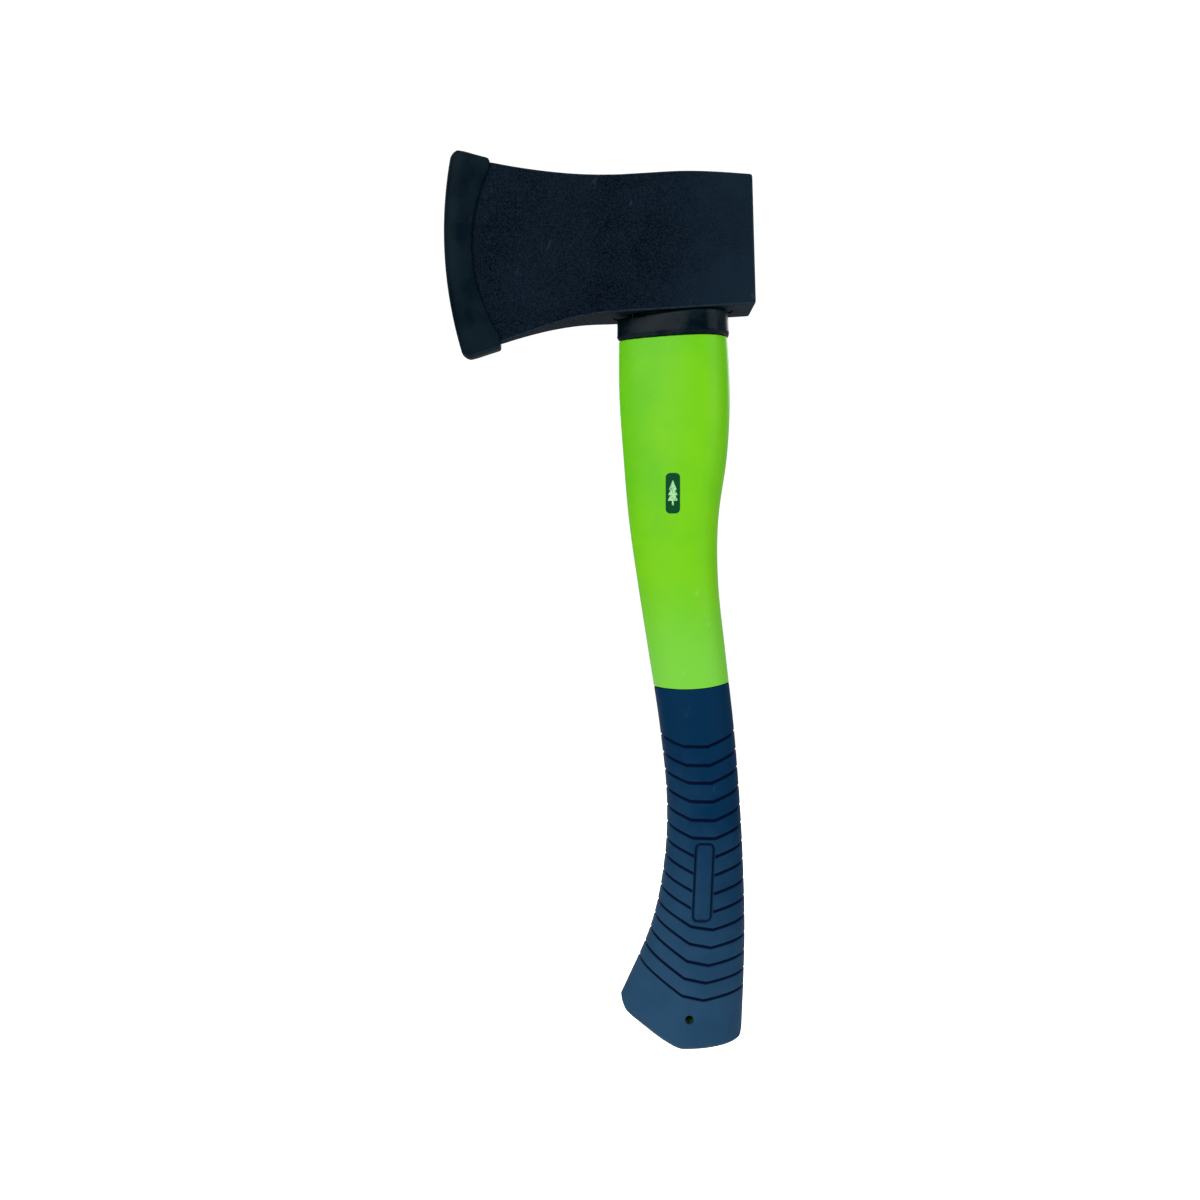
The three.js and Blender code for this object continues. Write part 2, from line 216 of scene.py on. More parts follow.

# The knob's end from the side: share across the handle, x, z (mm), from the tip to the heel
KNOB_END = (
    (-1.0, -20.9, -272.6),
    (-0.97, -20.6, -275.0),
    (-0.93, -19.5, -278.1),
    (-0.86, -17.3, -280.6),
    (-0.77, -14.3, -283.0),
    (-0.10, 0.0, -292.7),
    (0.00, 2.6, -293.6),
    (0.10, 5.4, -293.7),
    (0.50, 15.2, -293.1),
    (0.76, 21.6, -291.8),
    (0.90, 25.1, -290.2),
    (0.96, 26.8, -288.5),
    (1.0, 27.5, -285.0),
)
MM = 0.001
HANDLE_LENGTH = -cad_box[0][2] / MM


def through(rows):
    """A smooth curve through rows that start with their station, as a function of stations.
    At a row it goes the mean way of its two neighbouring steps."""
    table = np.array(rows, float)
    keys, values = table[:, 0], table[:, 1:]
    slopes = np.diff(values, axis=0) / np.diff(keys)[:, None]
    slopes = np.concatenate([slopes[:1], (slopes[:-1] + slopes[1:]) / 2, slopes[-1:]])

    def at(station):
        station = np.clip(station, keys[0], keys[-1])
        i = np.clip(np.searchsorted(keys, station, side="right") - 1, 0, len(keys) - 2)
        step = (keys[i + 1] - keys[i])[..., None]
        p = (station - keys[i])[..., None] / step
        bend = slopes[i] * p * (1 - p) ** 2 - slopes[i + 1] * p**2 * (1 - p)
        return values[i] + (values[i + 1] - values[i]) * p**2 * (3 - 2 * p) + step * bend

    return at


def parted(rows):
    """The values of each column of some rows, as arrays."""
    return np.moveaxis(rows, -1, 0)


handle_at = through(HANDLE_STATIONS)
knob_end_at = through(KNOB_END)


def rounded(value):
    """A sine or cosine squared off for a superellipse."""
    return np.sign(value) * np.abs(value) ** (2 / SECTION_POWER)


def turned_by(column, columns):
    """The angle of a column, out of so many that go once round."""
    return 2 * math.pi * (column % columns) / columns


def on_section(front, back, half, egg, angle):
    """Points round a section, x and y. The near side, -Y, is at negative angles."""
    along = rounded(np.cos(angle))
    across = rounded(np.sin(angle))
    x = (front + back) / 2 + along * (back - front) / 2
    return x, across * half * (1 + egg * along) / (1 + EGG_TRIM * np.abs(egg))


def on_handle(z, angle, grow):
    """Points on the handle's skin at height z, moved out by grow (mm)."""
    front, back, half, egg = parted(handle_at(-z / HANDLE_LENGTH))
    return on_section(front - grow, back + grow, half + grow, egg, angle)


def sewn_sheet(name, columns, rows, place, **marks):
    """A grid primitive rolled into a closed skin. place gives the points (mm) for whole-number
    columns and rows, and points that meet are sewn together. Each mark is a value for every
    point, kept as an attribute of that name."""
    bpy.ops.object.select_all(action="DESELECT")
    bpy.ops.mesh.primitive_grid_add(x_subdivisions=columns, y_subdivisions=rows, size=1)
    piece = bpy.context.object
    piece.name = name
    piece.data.name = name
    spot = np.empty(len(piece.data.vertices) * 3)
    piece.data.vertices.foreach_get("co", spot)
    spot = spot.reshape(-1, 3) + 0.5
    column = np.rint(spot[:, 0] * columns).astype(int)
    row = np.rint(spot[:, 1] * rows).astype(int)
    points = np.stack(place(column, row), axis=1) * MM
    piece.data.vertices.foreach_set("co", points.ravel())
    for mark, values in marks.items():
        attribute = piece.data.attributes.new(mark, "FLOAT", "POINT")
        attribute.data.foreach_set("value", values(column, row).astype(np.float32))
    bpy.ops.object.mode_set(mode="EDIT")
    bpy.ops.mesh.select_all(action="SELECT")
    bpy.ops.mesh.remove_doubles(threshold=2e-6)
    bpy.ops.mesh.normals_make_consistent(inside=False)
    bpy.ops.object.mode_set(mode="OBJECT")
    return piece


def finish_with(piece, kind, **settings):
    """Adds a modifier and applies it."""
    bpy.context.view_layer.objects.active = piece
    modifier = piece.modifiers.new(kind.lower(), kind)
    for name, value in settings.items():
        setattr(modifier, name, value)
    bpy.ops.object.modifier_apply(modifier=modifier.name)


def smooth_shading(piece, degrees):
    bpy.ops.object.select_all(action="DESELECT")
    piece.select_set(True)
    bpy.context.view_layer.objects.active = piece
    bpy.ops.object.shade_smooth_by_angle(angle=math.radians(degrees))


def soften(piece):
    finish_with(piece, "SUBSURF", levels=1, render_levels=1)


# The jacket's skin, from its top down: height at x = 0, slope, how far it stands out (mm),
# share of the dip
neck = COLLAR_PROUD - COLLAR_WALL - GAP
shoulder = -COLLAR_FOOT - GAP
JACKET_COLUMNS = 72
jacket_rows = [
    (-NECK_TOP, HEAD_TILT, neck - 5, 0),
    (-NECK_TOP, HEAD_TILT, neck - 0.3, 0),
    (-NECK_TOP - 0.1, HEAD_TILT, neck, 0),
    (-4, HEAD_TILT, neck, 0),
    (shoulder + 0.2, COLLAR_TILT, neck, 0),
    (shoulder, COLLAR_TILT, neck + 0.2, 0),
    (shoulder, COLLAR_TILT, -0.5, 0),
    (shoulder - 0.06, COLLAR_TILT, -0.2, 0),
    (shoulder - 0.25, COLLAR_TILT, 0, 0),
    (shoulder - 1, COLLAR_TILT, 0, 0),
]
middle_top, middle_low = shoulder - 3, -GRIP_START + 3
for share in np.linspace(0, 1, 33):
    level = middle_top + share * (middle_low - middle_top)
    jacket_rows.append((level, COLLAR_TILT + share * (GRIP_TILT - COLLAR_TILT), 0, share))
jacket_rows += [
    (-GRIP_START + 1, GRIP_TILT, 0, 1),
    (-GRIP_START + 0.15, GRIP_TILT, 0, 1),
    (-GRIP_START + 0.03, GRIP_TILT, -0.05, 1),
    (-GRIP_START, GRIP_TILT, -0.2, 1),
    (-GRIP_START, GRIP_TILT, -GRIP_WALL + 0.2, 1),
    (-GRIP_START - 0.3, GRIP_TILT, -GRIP_WALL, 1),
]
SPINE_ROWS = 16
KNOB_WALL = 9.0  # rubber below the foot of the spine (mm)
jacket_table = np.array(jacket_rows)
last_skin_row = len(jacket_table) - 1
jacket_foot_row = len(jacket_table) + SPINE_ROWS


def on_jacket(column, row):
    angle = turned_by(column, JACKET_COLUMNS)
    across = rounded(np.cos(angle))
    level, slope, grow, dip = parted(jacket_table[np.minimum(row, last_skin_row)])
    z = level + on_handle(level, angle, grow)[0] * np.tan(slope)
    z = z - dip * EDGE_SAG * (1 - across**2)
    foot = knob_end_at(across)[..., 1] + KNOB_WALL
    z = z + (foot - z) * np.clip((row - last_skin_row) / SPINE_ROWS, 0, 1)
    x, y = on_handle(z, angle, grow)
    return x, np.where((row == 0) | (row == jacket_foot_row), 0, y), z


# The core's own shape: share of the handle's length, middle x (mm)
CORE_STATIONS = ((-0.2, 0), (0.2, 0.6), (0.4, 3.4), (0.6, 10.4), (0.76, 12.6), (0.9, 11))
CORE_DEPTH = 17.0
CORE_WIDTH = 9.6
CORE_REACH = 253.0
CORE_ABOVE = 20.0  # how far above the head's underside the cutter starts (mm)
CORE_ROWS = 40
CORE_COLUMNS = 40
core_at = through(CORE_STATIONS)


def on_core(column, row):
    """The room that the core takes up inside its neighbours."""
    share = np.clip((row - 1) / (CORE_ROWS - 2), 0, 1)
    z = CORE_ABOVE - share * (CORE_REACH + GAP + CORE_ABOVE)
    middle = core_at(-z / HANDLE_LENGTH)[..., 0]
    end, side = CORE_DEPTH / 2 + GAP, CORE_WIDTH / 2 + GAP
    x, y = on_section(middle - end, middle + end, side, 0, turned_by(column, CORE_COLUMNS))
    return x, np.where((row == 0) | (row == CORE_ROWS), 0, y), z


def cut_away(piece, cutter):
    """Takes the cutter's shape out of a piece, and removes the cutter."""
    finish_with(piece, "BOOLEAN", object=cutter, operation="DIFFERENCE", solver="EXACT")
    bpy.data.objects.remove(cutter)


jacket = sewn_sheet("handle_jacket_moulding", JACKET_COLUMNS, jacket_foot_row, on_jacket)
soften(jacket)
cut_away(jacket, sewn_sheet("core_room", CORE_COLUMNS, CORE_ROWS, on_core))

SCUFF_LENGTH = 14  # how much longer than wide
SCUFF_TURN = (0.25, 0.35, 0.0)
scuffs, given, made = new_effect("scuffs", {"Scale": 600.0, "Spread": 0.1}, ("Mask",))
settings = {"Vector": given["Place"], "Rotation": SCUFF_TURN, "Scale": (1, 1, SCUFF_LENGTH)}
turned = add_node(scuffs, "ShaderNodeMapping", settings, vector_type="TEXTURE").outputs[0]
streaks = ramp(scuffs, noise(scuffs, turned, given["Scale"], 2), 0.66, 0.74)
patch_scale = maths(scuffs, "MULTIPLY", given["Scale"], given["Spread"])
patches = ramp(scuffs, noise(scuffs, given["Place"], patch_scale, 1), 0.54, 0.64)
scuffs.links.new(maths(scuffs, "MULTIPLY", streaks, patches), made["Mask"])


def axes(tree, place):
    """X, Y and Z of a place."""
    return add_node(tree, "ShaderNodeSeparateXYZ", {"Vector": place}).outputs


PARTING_WIDTH = 0.00018
parting, given, made = new_effect("parting_line", {"Width": PARTING_WIDTH}, ("Mask",))
off_middle = maths(parting, "ABSOLUTE", axes(parting, given["Place"])["Y"])
off_middle = maths(parting, "DIVIDE", off_middle, given["Width"])
parting.links.new(ramp(parting, off_middle, 1.0, 0.3), made["Mask"])


def moulded_relief(tree, shader, place, scale, share):
    """A share of the grain's relief, with the mould's parting line standing out of it."""
    line = effect(tree, parting, place)["Mask"]
    rough = effect(tree, grain, place, scale=scale)["Height"]
    bump(tree, shader, maths(tree, "MULTIPLY_ADD", rough, share, line), 0.0001)


lime, tree, shader, place = new_material("lime_polypropylene", LIME_ROUGH, specular=0.12)
colour = blend(tree, effect(tree, mottle, place, scale=24)["Mask"], LIME, LIME_DEEP)
# Painted light: a paler haze of reflected light towards the grip
painted_haze = ramp(tree, axes(tree, place)["Z"], PALE_FROM * MM, PALE_TO * MM)
colour = blend(tree, painted_haze, colour, LIME_PAINTED_HAZE)
scuffed = effect(tree, scuffs, place, scale=500)["Mask"]
colour = tint(tree, scuffed, 0.28, colour, LIME_SCUFF)
tree.links.new(colour, shader.inputs["Base Color"])
dull = maths(tree, "MULTIPLY_ADD", scuffed, 0.2, LIME_ROUGH)
tree.links.new(dull, shader.inputs["Roughness"])
moulded_relief(tree, shader, place, 900, 0.2)
jacket.data.materials.append(lime)
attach(jacket, "hatchet")
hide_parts("handle_jacket")

# --- Badge --------------------------------------------------------------------------------
# A dark green in-mould label, flush in the near side of the jacket, printed with a plain
# pine tree.

BADGE_AT = (-0.6, -72.3)
BADGE_SIZE = (5.6, 16.0)
BADGE_ROUND = 1.8
BADGE_THICKNESS = 0.6
BADGE_PROUD = 0.06
BADGE_GREEN = (0.0010, 0.0560, 0.0170, 1)
BADGE_TREE = (0.36, 0.70, 0.34, 1)
# The pine tree, from the badge's middle (m): half the trunk's width, the trunk's middle and
# half its height, then each tier's tip, foot, and half width for its height
TRUNK_HALF = 0.00035
TRUNK = (-0.0036, 0.0012)
TIERS = ((0.0052, 0.0014, 0.40), (0.0034, -0.0008, 0.44), (0.0012, -0.0030, 0.48))


def ring(side, top, corner):
    """A rounded rectangle as shares of its flats and directions of its corners, going round
    from the foot of the + side: share across, share up, direction across, direction up."""
    points = []
    sides = ((side, 1, 0), (top, 0, 1), (side, -1, 0), (top, 0, -1))
    for quarter, (count, across, up) in enumerate(sides):
        for i in range(count):
            share = 2 * i / count - 1
            points.append((across - up * share, up + across * share, across, up))
        for i in range(corner):
            angle = (quarter + i / corner) * math.pi / 2
            points.append((across - up, up + across, math.cos(angle), math.sin(angle)))
    return parted(np.array(points, float))


def handle_face(x, z, grow):
    """y of the near side of the handle at x and z (mm)."""
    front, back, half, egg = parted(handle_at(-z / HANDLE_LENGTH))
    u = (2 * x - front - back) / (back - front)
    across = (1 - np.abs(u) ** SECTION_POWER) ** (1 / SECTION_POWER)
    return -(half + grow) * across * (1 + egg * u) / (1 + EGG_TRIM * np.abs(egg))


badge_ring = ring(24, 8, 6)
BADGE_ROWS = 10


def on_badge(column, row):
    across, up, out_x, out_z = badge_ring[:, column % badge_ring.shape[1]]
    share = np.where(row > BADGE_ROWS + 1, 0, np.minimum(row / BADGE_ROWS, 1))
    x = across * (BADGE_SIZE[0] / 2 - BADGE_ROUND) + out_x * BADGE_ROUND
    z = up * (BADGE_SIZE[1] / 2 - BADGE_ROUND) + out_z * BADGE_ROUND
    x, z = BADGE_AT[0] + x * share, BADGE_AT[1] + z * share
    grow = np.where(row > BADGE_ROWS, -BADGE_THICKNESS, BADGE_PROUD)
    return x, handle_face(x, z, grow), z


badge = sewn_sheet("badge_label", badge_ring.shape[1], BADGE_ROWS + 2, on_badge)
smooth_shading(badge, 50)

label, tree, shader, place = new_material("badge_print", 0.42, specular=0.05)
spot = axes(tree, place)
side = maths(tree, "SUBTRACT", spot["X"], BADGE_AT[0] * MM)
side = maths(tree, "ABSOLUTE", side)
height = maths(tree, "SUBTRACT", spot["Z"], BADGE_AT[1] * MM)
figure = maths(tree, "COMPARE", side, 0.0, TRUNK_HALF)
figure = maths(tree, "MULTIPLY", figure, maths(tree, "COMPARE", height, *TRUNK))
for tip, foot, spread in TIERS:
    reach = maths(tree, "MULTIPLY", maths(tree, "SUBTRACT", tip, height), spread)
    tier = maths(tree, "LESS_THAN", side, reach)
    tier = maths(tree, "MULTIPLY", tier, maths(tree, "GREATER_THAN", height, foot))
    figure = maths(tree, "MAXIMUM", figure, tier)
wear = maths(tree, "POWER", effect(tree, grain, place, scale=2500)["Mask"], 6.0)
figure = maths(tree, "MULTIPLY", figure, maths(tree, "SUBTRACT", 1.0, wear))
tree.links.new(blend(tree, figure, BADGE_GREEN, BADGE_TREE), shader.inputs["Base Color"])
badge.data.materials.append(label)
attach(badge, "hatchet")
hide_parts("badge")

# --- Grip ---------------------------------------------------------------------------------
# Navy thermoplastic rubber moulded over the jacket's spine, closed round the knob. Fifteen
# chevron grooves run right round it, and each side has an outlined pad between them.

# Groove number, z on the flat at its left kink, slope of the flat, kinks as shares across
GROOVES = (
    (1, -172.2, 0.00, -0.46, 0.19),
    (2, -179.6, 0.00, -0.44, 0.20),
    (3, -186.5, 0.00, -0.42, 0.21),
    (4, -193.8, 0.01, -0.40, 0.22),
    (5, -201.1, 0.02, -0.39, 0.23),
    (6, -208.1, 0.03, -0.36, 0.235),
    (7, -215.1, 0.05, -0.33, 0.245),
    (8, -222.0, 0.07, -0.30, 0.255),
    (9, -229.1, 0.09, -0.27, 0.26),
    (10, -236.0, 0.11, -0.23, 0.27),
    (11, -242.9, 0.14, -0.195, 0.275),
    (12, -249.6, 0.18, -0.16, 0.285),
    (13, -256.4, 0.20, -0.125, 0.295),
    (14, -263.2, 0.21, -0.09, 0.31),
    (15, -270.0, 0.22, -0.05, 0.32),
)
FLANK_SLOPE = 0.41
FLICK = 1.0  # how far a groove turns up where it rounds the front and back (mm)
FLICK_POWER = 8
PITCH = 7.2  # from groove to groove (mm)
FIRST, LAST = GROOVES[0][0], GROOVES[-1][0]
GROOVE_DEPTH = 0.9
GROOVE_WIDTH = 1.3
# Across one groove: distance from its middle (mm), share of its depth
GROOVE_PROFILE = ((0, 1), (0.25, 1), (0.42, 0.93), (0.52, 0.7), (0.6, 0.3), (0.68, 0.08), (0.8, 0))
PAD_TOP, PAD_FOOT = -210.0, -241.2  # outside of the line round the pad (mm)
PAD_MIDDLE = (12.05, 10.65)  # x of its middle, at the top and at the foot
PAD_WIDTH = 8.0
PAD_ROUND = 1.9
PAD_LINE = 0.95
PAD_SWELL = 0.25
PAD_CLEAR = 0.75  # how far the grooves stop from the middle of the line (mm)
PAD_DEPTH = 0.85  # depth of the line as a share of a groove's
PAD_BENDS = (6.1, 10.9)  # groove numbers between which the columns follow the pad
BEND_RUN = 0.2
SHALLOW_FROM = 0.84  # share of the way to the front or back where grooves turn shallow
SHALLOWER = 0.6
KNOB_RISE = 0.7  # the knob's end, above the lowest the handle may reach (mm)
DOME = 4.2  # how far the knob's end bulges
DOME_POWER = 2.15
DOME_RIM_POWER = 6
DOME_ROWS = 16
KNOB_FULL = -280  # the knob keeps its thickness below this height (mm)
PIN_HOLE_AT = (5.8, -279.3)
PIN_HOLE_DIAMETER = 3.5
PIN_HOLE_FOOT = 1.5  # how far from the middle of the jacket the blind holes end (mm)
PIN_LENGTH = 20.0  # of the cutter for each hole (mm)
NAVY = (0.0001, 0.0215, 0.0620, 1)
NAVY_PALE = (0.0185, 0.0610, 0.1200, 1)
NAVY_GROOVE_SHADE = (0.0, 0.0020, 0.0220, 1)
NAVY_SCUFF = (0.0500, 0.1100, 0.1700, 1)

groove_at = through(GROOVES)


def beside(marks):
    """Row stops on both sides of some marks, for the shape of a groove on each."""
    away = [step / PITCH for step, _ in GROOVE_PROFILE]
    return {mark + side * step for mark in marks for step in away for side in (-1, 1)}


# Rows as groove numbers with their shares: dense across each groove and the pad's two ends.
# The plain cuff above the grooves and the knob below them are END_PITCHES long.
END_PITCHES = 3.3
END_ROWS = 18
LAND_ROWS = 8
LAND = 0.12  # share of a pitch from a groove to the land beside it
CLOSEST = 0.006  # rows nearer than this share of a pitch are one row
pad_ends = np.interp(
    (PAD_LINE / 2 - PAD_TOP, -PAD_LINE / 2 - PAD_FOOT),
    [-row[1] for row in GROOVES],
    [row[0] for row in GROOVES],
)
grip_stops = beside(range(FIRST, LAST + 1)) | beside(pad_ends)
grip_stops |= set(np.linspace(FIRST - END_PITCHES, FIRST - LAND, END_ROWS))
grip_stops |= set(np.linspace(LAST + LAND, LAST + END_PITCHES, END_ROWS))
for number in range(FIRST, LAST):
    grip_stops |= set(number + np.linspace(LAND, 1 - LAND, LAND_ROWS))
grip_stops = np.array(sorted(round(stop, 4) for stop in grip_stops))
grip_stops = grip_stops[np.append(True, np.diff(grip_stops) > CLOSEST)]
BODY_ROWS = len(grip_stops)

# Columns as shares of three stretches: back to the right kink, the pad, left kink to the front
flank_stops = np.append(np.linspace(0, 0.93, 22), (0.955, 0.975, 0.99))
pad_stops = np.array(
    (0.0, 0.02, 0.045, 0.07, 0.1, 0.2, 0.35, 0.5, 0.65, 0.8, 0.9, 0.93, 0.955, 0.98)
)
column_stops = np.concatenate([flank_stops, 1 + pad_stops, 3 - flank_stops[::-1]])
SIDE_COLUMNS = len(column_stops) - 1


def smooth_step(value):
    value = np.clip(value, 0, 1)
    return value * value * (3 - 2 * value)


def kink_angle(share):
    return np.arccos(np.sign(share) * np.abs(share) ** (SECTION_POWER / 2))


def pad_middle(z):
    """x of the middle of the pad at height z."""
    share = (z - PAD_TOP) / (PAD_FOOT - PAD_TOP)
    return PAD_MIDDLE[0] + share * (PAD_MIDDLE[1] - PAD_MIDDLE[0])


def kinks(number):
    """Shares across at which the columns bend: the kinks, or the line round the pad."""
    flat_z, _, left, right = parted(groove_at(np.clip(number, FIRST, LAST)))
    front, back, _, _ = parted(handle_at(-flat_z / HANDLE_LENGTH))
    middle, reach = (front + back) / 2, (back - front) / 2
    line = (PAD_WIDTH - PAD_LINE) / 2
    on_pad = smooth_step((number - PAD_BENDS[0]) / BEND_RUN)
    on_pad = on_pad * smooth_step((PAD_BENDS[1] - number) / BEND_RUN)
    left = left + ((pad_middle(flat_z) - line - middle) / reach - left) * on_pad
    right = right + ((pad_middle(flat_z) + line - middle) / reach - right) * on_pad
    return left, right


NEARBY = 0.01  # share across, for the knob's direction at a point


def grip_point(number, angle):
    """A point for a groove number with its share, and an angle, before the grooves are cut."""
    flat_z, tilt, left, right = parted(groove_at(np.clip(number, FIRST, LAST)))
    u = rounded(np.cos(angle))
    z = flat_z
    for _ in range(6):
        front, back, _, _ = parted(handle_at(-z / HANDLE_LENGTH))
        middle, reach = (front + back) / 2, (back - front) / 2
        z = flat_z - tilt * (np.clip(u, left, right) - left) * reach
        z = z + np.maximum(left - u, 0) * reach * (FLANK_SLOPE + tilt)
        z = z + np.maximum(u - right, 0) * reach * (FLANK_SLOPE - tilt)
        z = z + FLICK * np.abs(u) ** FLICK_POWER
    edge_x = on_handle(np.full_like(z, -GRIP_START), angle, 0)[0]
    edge = edge_x * math.tan(GRIP_TILT) - GRIP_START - GAP - EDGE_SAG * (1 - u**2)
    z = z + (edge - z) * np.clip((FIRST - number) / END_PITCHES, 0, 1)
    x, y = on_handle(z, angle, 0)
    below = np.clip((number - LAST) / END_PITCHES, 0, 1)
    end_x, end_z = parted(knob_end_at(u))
    end_z = end_z + KNOB_RISE
    ahead = knob_end_at(np.clip(u + NEARBY, -1, 1))
    along_x, along_z = parted(ahead - knob_end_at(np.clip(u - NEARBY, -1, 1)))
    rim = DOME * (1 - np.abs(u) ** DOME_RIM_POWER) / np.hypot(along_x, along_z)
    out_x, out_z = rim * along_z, -rim * along_x
    x = x + (end_x - out_x - x) * below
    z = z + (end_z - out_z - z) * below
    thick = handle_at(-np.maximum(z, KNOB_FULL) / HANDLE_LENGTH)[..., 2]
    y = np.where(below > 0, thick * rounded(np.sin(angle)), y)
    return x, y, z, out_x, out_z


def grip_skin(column, row):
    """The grip's skin for whole-number columns and rows, before the grooves are cut."""
    number = grip_stops[np.minimum(row, BODY_ROWS - 1)]
    column = column % (2 * SIDE_COLUMNS)
    stop = column_stops[np.abs(column - SIDE_COLUMNS)]
    left, right = kinks(number)
    right, left = kink_angle(right), kink_angle(left)
    bends = np.stack([np.zeros_like(left), right, left, np.full_like(left, math.pi)])
    stretch = np.minimum(stop.astype(int), 2)
    first, second = (np.take_along_axis(bends, (stretch + k)[None], 0)[0] for k in (0, 1))
    angle = first + (second - first) * (stop - stretch)
    angle = np.where(column < SIDE_COLUMNS, -angle, angle)
    x, y, z, out_x, out_z = grip_point(number, angle)
    bulge = 1 - np.cos(np.clip((row - BODY_ROWS + 1) / DOME_ROWS, 0, 1) * math.pi / 2)
    rise = (1 - (1 - bulge) ** DOME_POWER) ** (1 / DOME_POWER)
    x, z, y = x + out_x * rise, z + out_z * rise, y * (1 - bulge)
    return x, y, z, number, np.abs(rounded(np.cos(angle)))


def pad_distance(x, z):
    """Distance from the middle of the line round the pad (mm), negative inside it."""
    over_x = np.abs(x - pad_middle(z)) - (PAD_WIDTH - PAD_LINE) / 2 + PAD_ROUND
    half_height = (PAD_TOP - PAD_FOOT - PAD_LINE) / 2
    over_z = np.abs(z - (PAD_TOP + PAD_FOOT) / 2) - half_height + PAD_ROUND
    outside = np.hypot(np.maximum(over_x, 0), np.maximum(over_z, 0))
    return outside + np.minimum(np.maximum(over_x, over_z), 0) - PAD_ROUND


def cut_share(away):
    """Share of a groove's depth at a distance from its middle (mm)."""
    return np.interp(np.abs(away), *parted(np.array(GROOVE_PROFILE, float)))


grip_rows = BODY_ROWS - 1 + DOME_ROWS
skin_columns, skin_rows = np.meshgrid(np.arange(2 * SIDE_COLUMNS), np.arange(grip_rows + 1))
skin_x, skin_y, skin_z, numbers, sideways = grip_skin(skin_columns, skin_rows)
skin = np.stack([skin_x, skin_y, skin_z], axis=-1)
around = np.roll(skin, -1, axis=1) - np.roll(skin, 1, axis=1)
outwards = np.cross(around, np.gradient(skin, axis=0))
outwards /= np.maximum(np.linalg.norm(outwards, axis=-1, keepdims=True), 1e-9)
facing = (outwards * (skin - skin.mean(axis=1, keepdims=True)))[:BODY_ROWS].sum()
outwards *= math.copysign(1, facing)
nearest = np.clip(np.rint(numbers), FIRST, LAST)
off_pad = pad_distance(skin_x, skin_z)
cut = cut_share((numbers - nearest) * PITCH) * (off_pad > PAD_CLEAR)
cut = np.maximum(cut, PAD_DEPTH * cut_share(off_pad * GROOVE_WIDTH / PAD_LINE))
cut = cut * (skin_rows < BODY_ROWS)
deep = cut * (1 - SHALLOWER * smooth_step((sideways - SHALLOW_FROM) / (1 - SHALLOW_FROM)))
swell = PAD_SWELL * smooth_step(-off_pad - PAD_LINE / 2)
skin = skin - outwards * (deep * GROOVE_DEPTH - swell)[..., None]


# The room for the spine, from its closed foot up to the cuff's top edge
ROOM_ROWS = 14
edge_x, edge_y, edge_z = skin[0].T
edge_share = (2 * edge_x - edge_x.max() - edge_x.min()) / np.ptp(edge_x)
edge_angle = np.where(edge_y < 0, -1, 1) * kink_angle(np.clip(edge_share, -1, 1))
room_foot = knob_end_at(edge_share)[:, 1] + KNOB_WALL - GAP
room = []
for i in range(ROOM_ROWS + 1):
    level = room_foot + (edge_z - room_foot) * (i / ROOM_ROWS)
    x, y = on_handle(level, edge_angle, GAP - GRIP_WALL)
    room.append(np.stack([x, y, level], axis=-1))
room = [room[0] * (1, 0, 1)] + room
room += [room[-1] + (skin[0] - room[-1]) * share for share in (0.15, 0.85, 0.97)]
whole_grip = np.concatenate([np.array(room), skin[1:]])
whole_cut = np.concatenate([np.zeros((len(room), 2 * SIDE_COLUMNS)), cut[1:]])


def on_grip(column, row):
    return whole_grip[row, column % (2 * SIDE_COLUMNS)].T


def groove_mark(column, row):
    return whole_cut[row, column % (2 * SIDE_COLUMNS)]


grip = sewn_sheet(
    "grip_moulding", 2 * SIDE_COLUMNS, len(whole_grip) - 1, on_grip, groove=groove_mark
)
for near in (-1, 1):
    for piece in (grip, jacket):
        bpy.ops.object.select_all(action="DESELECT")
        middle = near * (PIN_HOLE_FOOT + PIN_LENGTH / 2)
        spot = Vector((PIN_HOLE_AT[0], middle, PIN_HOLE_AT[1])) * MM
        bpy.ops.mesh.primitive_cylinder_add(
            vertices=48, radius=PIN_HOLE_DIAMETER / 2 * MM, depth=PIN_LENGTH * MM, location=spot
        )
        pin = bpy.context.object
        bpy.ops.transform.rotate(value=math.pi / 2, orient_axis="X", center_override=spot)
        bpy.ops.object.transform_apply(location=True, rotation=True)
        cut_away(piece, pin)
smooth_shading(jacket, 40)
smooth_shading(grip, 60)


def mark_on(tree, name):
    """A mark that was kept with the points of a piece."""
    return add_node(tree, "ShaderNodeAttribute", attribute_name=name).outputs["Fac"]


navy, tree, shader, place = new_material("navy_rubber", 0.5, specular=0.04)
spot = axes(tree, place)
# Paler towards the knob, a painted sheen of reflected light, and less so along the back, painted
# shade; random clouds of tone are mixed in
painted_sheen_and_clouds = ramp(tree, spot["Z"], -GRIP_START * MM, -HANDLE_LENGTH * MM)
painted_sheen_and_clouds = maths(tree, "MULTIPLY_ADD", ramp(tree, spot["X"], -0.01, 0.03), -0.3, painted_sheen_and_clouds)
clouds = effect(tree, mottle, place, scale=70)["Mask"]
painted_sheen_and_clouds = maths(tree, "MULTIPLY_ADD", maths(tree, "SUBTRACT", clouds, 0.4), 0.2, painted_sheen_and_clouds)
colour = blend(tree, painted_sheen_and_clouds, NAVY, NAVY_PALE)
scuffed = effect(tree, scuffs, place, scale=700)["Mask"]
colour = tint(tree, scuffed, 0.14, colour, NAVY_SCUFF)
# Painted shade: the grooves darkened by their depth
colour = tint(tree, mark_on(tree, "groove"), 0.95, colour, NAVY_GROOVE_SHADE)
tree.links.new(colour, shader.inputs["Base Color"])
moulded_relief(tree, shader, place, 1500, 0.25)
grip.data.materials.append(navy)
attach(grip, "hatchet")
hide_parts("grip")

# --- Collar -------------------------------------------------------------------------------
# A glossy black moulded sleeve pressed over the jacket's neck, hard up under the head.

